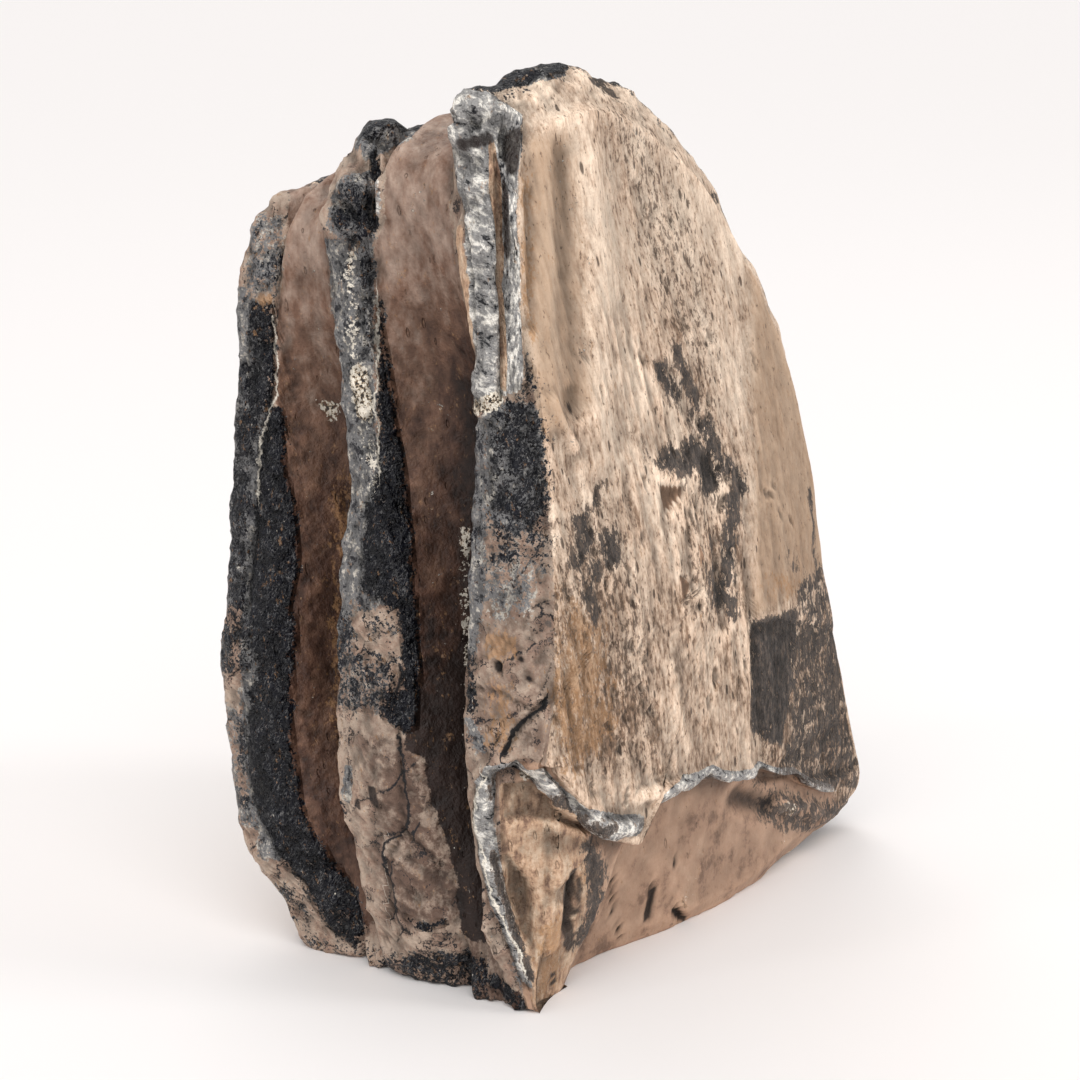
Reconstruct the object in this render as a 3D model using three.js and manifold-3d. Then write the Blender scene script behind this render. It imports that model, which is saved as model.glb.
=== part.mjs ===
// A piece of a fossil mammoth molar: three upright tooth plates, grown together as one, that stand
// one behind another on their broken root end.
//
// +Z is up, from the broken base to the crown. Y runs through the stack: the broad front face looks
// along -Y. X runs across the plates: the near edge, with its three ridges, looks along -X.
// The whole outside is one closed skin. Its columns run round the tongue-shaped outline of a plate.
// Its rows run from the middle of the front face out over the rim, across the three ridges and the
// two grooves between them, and in again to the middle of the back face.
import * as THREE from "three";
import { mergeVertices } from "three/addons/utils/BufferGeometryUtils.js";
import Module from "manifold-3d";

const { lerp, smoothstep } = THREE.MathUtils;

// ---- Driving dimensions, mm ----

// Outline of the front plate, [x, z], from the foot of the near edge over the crown and back.
const PLATE_OUTLINE = [
  [-29, -2], [-32.6, 6], [-34.6, 20], [-35.2, 38], [-35.4, 58], [-35.4, 78], [-35.4, 94], [-34.2, 104.5],
  [-26.5, 109.4], [-16, 109.8], [-4, 106.2], [8, 99.6], [18.6, 88.8], [27.3, 76.2], [34, 60], [38, 44],
  [43, 29], [48.2, 15], [53.2, 5], [46, 1.8], [34, 0.7], [20, -2], [4, -2], [-13, -2],
];
const MIDDLE_X = 3; // the middle of the broad faces
const MIDDLE_Z = 47;
const BOX_MIDDLE = { x: 8.66, y: 1.84 }; // middle of the whole piece, which is set over the origin

// Height and width of the front, middle and back plate, as shares of the front plate's.
const HEIGHT_SHARE = [1, 0.932, 0.876];
const WIDTH_SHARE = [1, 0.985, 0.955];

// The stack seen from the near edge: y of each plate's front and back edge at these heights.
const EDGE_HEIGHTS = [0, 12, 25, 40, 55, 70, 85, 100];
const FRONT_PLATE = {
  front: [-21.0, -22.6, -23.4, -23.4, -23.0, -21.8, -20.0, -18.8],
  back: [-15.5, -14.6, -13.2, -12.4, -13.4, -14.5, -14.0, -12.2],
};
const MIDDLE_PLATE = {
  front: [-10.5, -8.6, -5.3, -4.0, -3.7, -1.6, 0.9, 1.2],
  back: [3.0, 5.4, 7.4, 7.4, 5.5, 4.9, 6.6, 7.6],
};
const BACK_PLATE = {
  front: [6.5, 10.8, 14.4, 15.2, 14.2, 15.3, 16.5, 14.6],
  back: [18.0, 24.0, 27.2, 26.8, 25.0, 23.5, 21.8, 19.4],
};

const GROOVE_DEPTH = 9.5; // at mid-height of the near edge
const FAR_GROOVE_SHARE = 0.8; // the grooves of the far edge are filled a little more
const CROWN_GROOVE_SHARE = 0.22; // and over the crown they are only dips between humps
const FACE_BULGE = 1.4; // how far each broad face swells out past its rim
const FAR_TURN = 1.6; // how far the front face falls back towards the far edge
const RIDGE_LUMP = 0.7; // height of the slow swellings along the ridges
const KNOB = 1.8; // height of the knob at the crown end of the front plate's ridge
const FLUTE = { x: -21, width: 4.5, height: 0.8, foot: 62 }; // soft upright rib on the front face

// Where the front plate's outer layers have broken away: [x, z] along the edge of the break.
const BREAK_LINE = [
  [-35, 31.5], [-31, 31.8], [-28, 28], [-24, 24], [-19.5, 19.8], [-12, 17], [-10.6, 22], [-5, 22.8],
  [3, 22], [17.5, 18.6], [28.5, 14.8], [42, 8.6],
];
const BREAK_FADE = 0.09; // radians over which the break runs out at its ends
const WINDOW_DEPTH = 2.2; // of the break by the near edge, which bares the plate's core
const CHAMFER_Y = [-20.4, -17.9, -15.6]; // where it takes the corner of the ridge off
const RECESS_Y = -20.4; // the wide recess beside it is a nearly upright face here
const RECESS_PULL = [1.6, 2.6]; // how much further back it lies next to the window, and its foot more
const WALL = 0.012; // width of the wall of the break, as a share of the way out from the middle

const COLUMNS = 160;
const FOSSIL = { color: 0xa88d74, roughness: 0.72, metalness: 0 };

// ---- Curves ----

const outline = new THREE.CatmullRomCurve3(
  PLATE_OUTLINE.map(([x, z]) => new THREE.Vector3(x, 0, z)),
  true,
  "catmullrom",
  0.5,
);

/** Value at a place, on straight lines between the stations. */
function between(stations, values, place) {
  const last = stations.length - 1;
  if (place <= stations[0]) return values[0];
  if (place >= stations[last]) return values[last];
  const next = stations.findIndex((station) => station > place);
  const share = (place - stations[next - 1]) / (stations[next] - stations[next - 1]);
  return lerp(values[next - 1], values[next], share);
}

/** Direction of a face point from the middle, in radians: it runs from the near edge by way of the
 * foot (-PI / 2) and the far edge to straight up (PI / 2). */
function bearing(x, z) {
  const angle = Math.atan2(z - MIDDLE_Z, x - MIDDLE_X);
  return angle > Math.PI / 2 ? angle - 2 * Math.PI : angle;
}

const breakBearings = BREAK_LINE.map(([x, z]) => bearing(x, z));
const breakRadii = BREAK_LINE.map(([x, z]) => Math.hypot(x - MIDDLE_X, z - MIDDLE_Z));

/** 1 along the break, 0 where the face is whole. */
function brokenShare(angle) {
  const first = breakBearings[0];
  const last = breakBearings[breakBearings.length - 1];
  const starts = smoothstep(angle, first - BREAK_FADE, first + BREAK_FADE);
  return starts * (1 - smoothstep(angle, last - BREAK_FADE, last + BREAK_FADE));
}

/** Slow swellings along a ridge: two waves that never quite repeat. */
function lump(turn, phase) {
  const a = 2 * Math.PI * turn;
  return (RIDGE_LUMP / 2) * (Math.sin(17 * a + phase) + 0.6 * Math.sin(29 * a + 2.3 * phase));
}

/** Depth of a groove where the outline passes x, z. */
function grooveDepth(x, z) {
  const footShare = smoothstep(z, -1, 16);
  const crownShare = lerp(1, CROWN_GROOVE_SHARE, smoothstep(z, 82, 103));
  const farShare = lerp(1, FAR_GROOVE_SHARE, smoothstep(x, -10, 20));
  return GROOVE_DEPTH * footShare * crownShare * farShare;
}

/** The soft upright rib on the front face, near its ridge. */
function flute(x, z) {
  return FLUTE.height * Math.exp(-(((x - FLUTE.x) / FLUTE.width) ** 2)) * smoothstep(z, FLUTE.foot, 90);
}

// ---- One column of the skin ----

/** The points of one column, from the front face's middle to the back face's. */
function column(turn) {
  const foot = outline.getPoint(turn);
  const points = [];

  // The outline of a plate: 0 is the front, 1 the middle and 2 the back one, and a half lies
  // in the groove between two.
  const rim = (plate) => {
    const heightShare = between([0, 1, 2], HEIGHT_SHARE, plate);
    const widthShare = between([0, 1, 2], WIDTH_SHARE, plate);
    return {
      x: MIDDLE_X + (foot.x - MIDDLE_X) * widthShare,
      z: foot.z > 0 ? foot.z * heightShare : foot.z,
      middleZ: MIDDLE_Z * heightShare,
    };
  };
  // A point that lies a share of the way from the middle out to a plate's outline.
  const addShare = (plate, share, y) => {
    const edge = rim(plate);
    const x = MIDDLE_X + (edge.x - MIDDLE_X) * share;
    points.push(new THREE.Vector3(x, y, edge.middleZ + (edge.z - edge.middleZ) * share));
  };
  // A point set in from a plate's outline.
  const addInset = (plate, inset, y) => {
    const edge = rim(plate);
    addShare(plate, 1 - inset / Math.hypot(edge.x - MIDDLE_X, edge.z - edge.middleZ), y);
  };

  const front = rim(0);
  const angle = bearing(front.x, front.z);
  const radius = Math.hypot(front.x - MIDDLE_X, front.z - MIDDLE_Z);
  const broken = brokenShare(angle);
  const xAt = (share) => lerp(MIDDLE_X, front.x, share);
  const zAt = (share) => lerp(MIDDLE_Z, front.z, share);

  // The broad front face swells a little between its rims.
  const faceY = (share) =>
    between(EDGE_HEIGHTS, FRONT_PLATE.front, zAt(share)) -
    FACE_BULGE * Math.sqrt(Math.max(0, 1 - share * share)) +
    FAR_TURN * smoothstep(xAt(share), 5, 45) -
    flute(xAt(share), zAt(share));
  const breakRadius = between(breakBearings, breakRadii, angle);
  const breakShare = lerp(0.8, Math.min(0.93, breakRadius / radius), broken);
  [0, 0.25, 0.45, lerp(0.45, breakShare, 0.5), breakShare].forEach((share) => {
    addShare(0, share, faceY(share));
  });

  // Past the edge of the break the surface steps back: a little in the window by the near edge,
  // and to a nearly upright face in the recess.
  const inRecess = smoothstep(xAt(breakShare), -14, -9);
  const brokenY = (share) => {
    const down = (share - breakShare) / (1 - breakShare);
    const pull = lerp(RECESS_PULL[0], RECESS_PULL[0] + RECESS_PULL[1], down);
    const recessY = RECESS_Y + pull * (1 - smoothstep(xAt(share), -16, 8));
    return lerp(faceY(share), lerp(faceY(share) + WINDOW_DEPTH, recessY, inRecess), broken);
  };
  const wallShare = breakShare + WALL;
  addShare(0, wallShare, brokenY(wallShare));

  // The front plate's ridge. In the window its front corner is off, and at the foot the corner
  // comes back as a blunt tip.
  const window = (1 - smoothstep(front.z, 29.5, 32.5)) * (1 - smoothstep(front.x, -24, -16));
  const chamfer = window * smoothstep(front.z, -1, 11);
  const tip = window - chamfer;
  const cornerInset = lerp(lerp(4.2, 8.2, chamfer), 0.9, tip);
  const shoulderInset = lerp(lerp(1.2, 4, chamfer), 0.3, tip);
  const cornerShare = Math.max(1 - cornerInset / radius, wallShare + 0.01);
  const wholeY = between(EDGE_HEIGHTS, FRONT_PLATE.front, front.z) + FAR_TURN * smoothstep(front.x, 5, 45);
  const rimY = lerp(wholeY, brokenY(cornerShare), broken * inRecess);
  // Under the foot the edges of the plates lie a little further back than at the near edge.
  const footShift = 2.5 * (1 - smoothstep(front.z, 1, 12)) * smoothstep(front.x, -24, -8);
  const edgeY = (values, z) => between(EDGE_HEIGHTS, values, z) + footShift;
  const ridgeFront = lerp(rimY, CHAMFER_Y[0], chamfer);
  const ridgeBack = Math.max(edgeY(FRONT_PLATE.back, front.z), ridgeFront + 3);
  const crest = lerp((ridgeFront + ridgeBack) / 2, CHAMFER_Y[2], chamfer);
  const shoulder = lerp(ridgeFront + 0.3 * (crest - ridgeFront) + 0.6, CHAMFER_Y[1], chamfer);
  const knob = KNOB * Math.exp(-(((front.z - 105) / 4) ** 2)) * (1 - smoothstep(front.x, -31, -26));
  const middleShare = lerp(wallShare, cornerShare, 0.5);
  addShare(0, middleShare, brokenY(middleShare));
  addShare(0, cornerShare, ridgeFront);
  addInset(0, shoulderInset - lump(turn, 1) * (1 - chamfer), shoulder);
  addInset(0, 0.3 * chamfer - lump(turn, 1) - 0.6 * knob, crest);
  addInset(0, 0.6 - lump(turn, 2) - knob, ridgeBack - lerp(0.9, 0.5, chamfer));

  // The two grooves and the ridges behind them. A groove is deepest close behind the plate in
  // front of it, and rises in a slope to the next plate's ridge.
  const depth = grooveDepth(front.x, front.z);
  const groove = (plate, from, to) => {
    const gap = Math.max(to - from, 1.5);
    addInset(plate - 0.5, 0.45 * depth + 1, from + 0.08 * gap);
    addInset(plate - 0.5, 0.95 * depth, from + 0.28 * gap);
    addInset(plate - 0.5, depth, from + 0.5 * gap);
    addInset(plate - 0.5, 0.72 * depth, from + 0.78 * gap);
  };
  const ridge = (plate, from, to, phase) => {
    const middle = (from + to) / 2;
    const quarter = 0.2 * (to - from);
    addInset(plate, 1 - lump(turn, phase), from + 0.5);
    addInset(plate, -lump(turn, phase), middle - quarter);
    addInset(plate, -lump(turn, phase + 1), middle + quarter);
    addInset(plate, 0.8 - lump(turn, phase + 1), to - 0.6);
  };
  const middleFront = Math.max(edgeY(MIDDLE_PLATE.front, rim(1).z), ridgeBack + 1.5);
  const middleBack = edgeY(MIDDLE_PLATE.back, rim(1).z);
  const backFront = edgeY(BACK_PLATE.front, rim(2).z);
  const backBack = edgeY(BACK_PLATE.back, rim(2).z);
  groove(1, ridgeBack, middleFront);
  ridge(1, middleFront, middleBack, 3);
  groove(2, middleBack, backFront);
  ridge(2, backFront, backBack, 5);

  // The broad back face.
  const backY = (share) => {
    const z = lerp(rim(2).middleZ, rim(2).z, share);
    return between(EDGE_HEIGHTS, BACK_PLATE.back, z) + FACE_BULGE * Math.sqrt(1 - share * share);
  };
  addInset(2, 3.6, backY(0.93));
  [0.8, 0.55, 0.28, 0].forEach((share) => addShare(2, share, backY(share)));
  return points;
}

// ---- The skin as one closed mesh ----

function skin() {
  const columns = Array.from({ length: COLUMNS }, (_, i) => column(i / COLUMNS));
  const rows = columns[0].length;
  const corner = (i, j) => (i % COLUMNS) * rows + j;
  const triangles = [];
  for (let i = 0; i < COLUMNS; i += 1) {
    for (let j = 0; j < rows - 1; j += 1) {
      const [a, b] = [corner(i, j), corner(i + 1, j)];
      // The first and the last row are single points, so the strips beside them are fans.
      if (j > 0) triangles.push(a, b, b + 1);
      if (j < rows - 2) triangles.push(a, b + 1, a + 1);
    }
  }
  const geometry = new THREE.BufferGeometry().setFromPoints(columns.flat());
  geometry.setIndex(triangles);
  return geometry;
}

const wasm = await Module();
wasm.setup();

/** A closed three.js geometry as a solid. */
function solidOf(geometry) {
  const bare = new THREE.BufferGeometry();
  bare.setAttribute("position", geometry.getAttribute("position"));
  bare.setIndex(geometry.index);
  const merged = mergeVertices(bare, 1e-4);
  return new wasm.Manifold(
    new wasm.Mesh({
      numProp: 3,
      vertProperties: merged.attributes.position.array,
      triVerts: new Uint32Array(merged.index.array),
    }),
  );
}

/** A solid as a three.js geometry. */
function geometryOf(solid) {
  const mesh = solid.getMesh();
  const geometry = new THREE.BufferGeometry();
  geometry.setAttribute("position", new THREE.BufferAttribute(mesh.vertProperties, 3));
  geometry.setIndex(new THREE.BufferAttribute(mesh.triVerts, 1));
  geometry.computeVertexNormals();
  return geometry;
}

// The foot is worn flat where the piece stands.
const ground = new THREE.BoxGeometry(200, 200, 20).translate(0, 0, -10);
const standing = solidOf(skin()).subtract(solidOf(ground));

const molar = new THREE.Mesh(
  geometryOf(standing).translate(-BOX_MIDDLE.x, -BOX_MIDDLE.y, 0),
  new THREE.MeshStandardMaterial(FOSSIL),
);
molar.name = "molar";

const part = new THREE.Group();
part.add(molar);

export default part;
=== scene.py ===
"""A piece of a fossil mammoth molar, standing on its broken root end.

Three tooth plates have grown together as one. Each plate is a sheet of dentine wrapped in enamel, and
cementum fills the space between the plates. +Z is up, from the broken root end to the crown. Y runs through
the stack: the broad front face looks along -Y. X runs across the plates: the near edge looks along -X.

Shapes are worked out in millimetres in the stack's own frame, and go into the mesh in metres, in the frame
of the solid model.
"""

from __future__ import annotations

import logging
import math
from dataclasses import dataclass, field
from enum import Enum

import bpy
import numpy as np
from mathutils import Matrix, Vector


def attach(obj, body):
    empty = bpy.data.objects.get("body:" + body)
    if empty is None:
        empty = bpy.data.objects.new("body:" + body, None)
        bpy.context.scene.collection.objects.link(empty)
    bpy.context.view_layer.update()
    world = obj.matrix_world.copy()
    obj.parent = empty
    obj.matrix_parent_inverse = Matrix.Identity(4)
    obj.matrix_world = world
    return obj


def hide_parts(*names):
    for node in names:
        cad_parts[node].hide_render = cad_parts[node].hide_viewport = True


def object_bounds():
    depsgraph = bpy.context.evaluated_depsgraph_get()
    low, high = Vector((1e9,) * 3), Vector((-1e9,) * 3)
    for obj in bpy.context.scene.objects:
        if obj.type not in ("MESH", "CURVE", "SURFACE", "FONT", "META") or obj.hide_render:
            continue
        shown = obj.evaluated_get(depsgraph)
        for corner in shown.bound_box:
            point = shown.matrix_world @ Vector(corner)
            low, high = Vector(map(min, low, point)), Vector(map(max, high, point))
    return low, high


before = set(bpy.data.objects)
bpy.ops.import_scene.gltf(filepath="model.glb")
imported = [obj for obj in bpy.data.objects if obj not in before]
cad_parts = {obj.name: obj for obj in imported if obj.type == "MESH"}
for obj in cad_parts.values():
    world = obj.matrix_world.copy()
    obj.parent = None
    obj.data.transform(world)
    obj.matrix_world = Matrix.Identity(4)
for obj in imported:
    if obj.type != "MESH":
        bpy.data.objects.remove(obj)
CAD_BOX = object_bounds()

LOG = logging.getLogger("molar")
MM = 0.001

Socket = bpy.types.NodeSocket
Inputs = bpy.types.NodeOutputs
Values = tuple[object, ...]
Array = np.ndarray
Masks = dict[str, np.ndarray]
Pair = tuple[float, float]
Triple = tuple[float, float, float]
Stations = Pair
Colour = Triple


# ---- Plain mathematics -------------------------------------------------------------------------------


def rise(value: Array, low: float, high: float) -> Array:
    """Smooth step: 0 up to low, 1 from high on, and a cubic with level ends between them."""
    share = np.clip((np.asarray(value, float) - low) / (high - low), 0.0, 1.0)
    return share * share * (3.0 - 2.0 * share)


def fall(value: Array, low: float, high: float) -> Array:
    """Smooth step down: 1 up to low, 0 from high on."""
    return 1 - rise(value, low, high)


def mix(first: Array, second: Array, share: Array) -> Array:
    """Straight blend: the first where share is 0, the second where it is 1."""
    return first + (second - first) * share


def hill(value: Array, middle: float, width: float) -> Array:
    """Bell curve: 1 at the middle, 1/e one width away from it."""
    return np.exp(-(((value - middle) / width) ** 2))


def blend_four(points: list[Array], share: Array) -> Array:
    """Catmull-Rom cubic through the second and third of four points.

    The curve leaves each point along the chord of its two neighbours.

    Args:
        points: Four arrays of the same shape.
        share: How far along from the second to the third point, 0 to 1.

    Returns:
        The points on the curve.
    """
    before, start, end, after = points
    bend = 2 * before - 5 * start + 4 * end - after
    twist = -before + 3 * start - 3 * end + after
    return 0.5 * (2 * start + (end - before) * share + bend * share**2 + twist * share**3)


def closed_curve(corners: Array, turns: Array) -> Array:
    """Points on a closed Catmull-Rom curve.

    Args:
        corners: The points that the curve passes, one row each.
        turns: Places along it, from 0 to 1 once round.

    Returns:
        One point for each turn.
    """
    count = len(corners)
    place = (np.asarray(turns) % 1.0) * count
    start = np.floor(place).astype(int) % count
    share = (place - np.floor(place))[:, None]
    return blend_four([corners[(start + step) % count] for step in (-1, 0, 1, 2)], share)


def smooth_values(stations: Array, values: Array, place: Array) -> Array:
    """A smooth curve through values at stations: a cubic in each span, with the mean slope at each station.

    Args:
        stations: Rising places.
        values: The value at each of them.
        place: Where the curve is wanted; past the ends it stays level.

    Returns:
        The curve's value at each place.
    """
    slopes = np.gradient(values, stations)
    slopes[[0, -1]] = 0.0
    inside = np.clip(place, stations[0], stations[-1])
    span = np.clip(np.searchsorted(stations, inside, side="right") - 1, 0, len(stations) - 2)
    length = stations[span + 1] - stations[span]
    t = (inside - stations[span]) / length
    start, end = values[span], values[span + 1]
    from_slope, to_slope = slopes[span] * length, slopes[span + 1] * length
    return (
        start * (2 * t**3 - 3 * t**2 + 1)
        + from_slope * (t**3 - 2 * t**2 + t)
        + end * (3 * t**2 - 2 * t**3)
        + to_slope * (t**3 - t**2)
    )


def sheared(points: Array, lean: Triple) -> Array:
    """Points moved sideways in proportion to their height."""
    return points + points[..., 2:] * np.array(lean)


class Roughness:
    """Random swells over space that are the same on every run."""

    CLASSES = 512  # of lattice cells, each with its own gradient
    FULL = 1.6  # brings a swell to about -1 to 1
    NARROW = 1.8  # how narrow a crease is against its swell

    def __init__(self, seed: int) -> None:
        """Draws the table of gradients: one unit vector for each class of lattice cells.

        Args:
            seed: Start of the random draws.
        """
        draw = np.random.default_rng(seed)
        self.order = draw.permutation(self.CLASSES)
        gradients = draw.normal(size=(self.CLASSES, 3))
        self.gradients = gradients / np.linalg.norm(gradients, axis=1, keepdims=True)
        self.chance = draw.random((self.CLASSES, 4))

    def _class(self, cell: Array) -> Array:
        """Lattice cells hashed to table rows: each coordinate passes through the shuffled order in turn.

        Args:
            cell: Lattice cells, with their three whole coordinates last.

        Returns:
            A table row for each cell.
        """
        mixed = self.order[cell[..., 0] % self.CLASSES]
        mixed = self.order[(mixed + cell[..., 1]) % self.CLASSES]
        return self.order[(mixed + cell[..., 2]) % self.CLASSES]

    def swell(self, points: Array, size: float | Triple) -> Array:
        """Gradient noise, about -1 to 1.

        Each lattice corner has a random slope, and the eight slopes round a point are blended by a
        quintic with level ends.

        Args:
            points: Places, with x, y, z last.
            size: Length of a swell, in the points' unit, one for all or one for each axis.

        Returns:
            One value for each place.
        """
        place = points / np.asarray(size, float)
        cell = np.floor(place).astype(np.int64)
        inner = place - cell
        ease = inner**3 * (inner * (inner * 6 - 15) + 10)
        total = np.zeros(points.shape[:-1])
        for corner in np.ndindex(2, 2, 2):
            step = np.array(corner)
            slope = self.gradients[self._class(cell + step)]
            weight = np.prod(np.where(step == 1, ease, 1 - ease), axis=-1)
            total += weight * np.sum(slope * (inner - step), axis=-1)
        return self.FULL * total

    def rough(
        self, points: Array, size: float | Triple, octaves: int = 4, gain: float = 0.5
    ) -> Array:
        """Sum of swells, each half as long as the last and gain times as high.

        Args:
            points: Places, with x, y, z last.
            size: Length of the longest swell.
            octaves: How many sizes are added up.
            gain: Height of each size against the one before it.

        Returns:
            One value for each place, about -1 to 1.
        """
        total = np.zeros(points.shape[:-1])
        height = 1.0
        for octave in range(octaves):
            shift = 17.3 * octave
            total += height * self.swell(points + shift, tuple(np.broadcast_to(size, 3) / 2.0**octave))
            height *= gain
        return total * (1 - gain)

    def creases(self, points: Array, size: float | Triple, octaves: int = 3) -> Array:
        """Sharp crests, 0 to 1: one less the size of a swell, squared, at several sizes.

        Args:
            points: Places, with x, y, z last.
            size: Length of the longest swell.
            octaves: How many sizes are added up.

        Returns:
            One value for each place.
        """
        total = np.zeros(points.shape[:-1])
        height, whole = 1.0, 0.0
        for octave in range(octaves):
            swell = self.swell(points + 31.7 * octave, tuple(np.broadcast_to(size, 3) / 2.0**octave))
            total += height * np.clip(1 - np.abs(swell) * self.NARROW, 0, 1) ** 2
            whole += height
            height *= 0.5
        return total / whole

    def cells(
        self, points: Array, size: float | Triple
    ) -> tuple[Array, Array, Array]:
        """Distance to scattered seeds, one in each lattice cell.

        Args:
            points: Places, with x, y, z last.
            size: Length of a cell.

        Returns:
            Distance to the nearest seed, distance to the next one, both in cells, and the nearest seed's
            own random number.
        """
        place = points / np.asarray(size, float)
        cell = np.floor(place).astype(np.int64)
        nearest = np.full(points.shape[:-1], 9.0)
        second = nearest.copy()
        chance = np.zeros_like(nearest)
        for corner in np.ndindex(3, 3, 3):
            here = cell + np.array(corner) - 1
            drawn = self.chance[self._class(here)]
            distance = np.linalg.norm(here + 0.15 + 0.7 * drawn[..., :3] - place, axis=-1)
            closer = distance < nearest
            second = np.where(closer, nearest, np.minimum(second, distance))
            chance = np.where(closer, drawn[..., 3], chance)
            nearest = np.where(closer, distance, nearest)
        return nearest, second, chance


# ---- The stack of plates -----------------------------------------------------------------------------


class Zone(Enum):
    """Strips of the skin, from the middle of the front face over the near edge to the back face."""

    FRONT_FACE = "front face"
    BREAK = "break"
    FRONT_RIDGE = "front ridge"
    FIRST_GROOVE = "first groove"
    MIDDLE_RIDGE = "middle ridge"
    SECOND_GROOVE = "second groove"
    BACK_RIDGE = "back ridge"
    BACK_FACE = "back face"


@dataclass
class Skin:
    """The skin as a grid: one column for each place round a plate's outline, one row for each step across.

    Attributes:
        points: Places in mm, columns by rows by x, y, z.
        station: Place of each row in the stack: 0, 1 and 2 are the crests of the front, middle and back
            ridge, a half and one and a half the floors of the grooves.
        broken: 1 where a point lies past the edge of the break, 0 where the outside is whole.
    """

    points: Array
    station: Array
    broken: Array

    def normals(self) -> Array:
        """Unit normals, outwards: the cross product of the steps along the columns and along the rows.

        Returns:
            The normals, columns by rows by x, y, z.
        """
        along = np.roll(self.points, -1, axis=0) - np.roll(self.points, 1, axis=0)
        across = np.gradient(self.points, axis=1)
        normal = np.cross(along, across)
        length = np.linalg.norm(normal, axis=-1, keepdims=True)
        normal = normal / np.maximum(length, 1e-9)
        normal[:, 0] = (0, -1, 0)
        normal[:, -1] = (0, 1, 0)
        return normal


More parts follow.
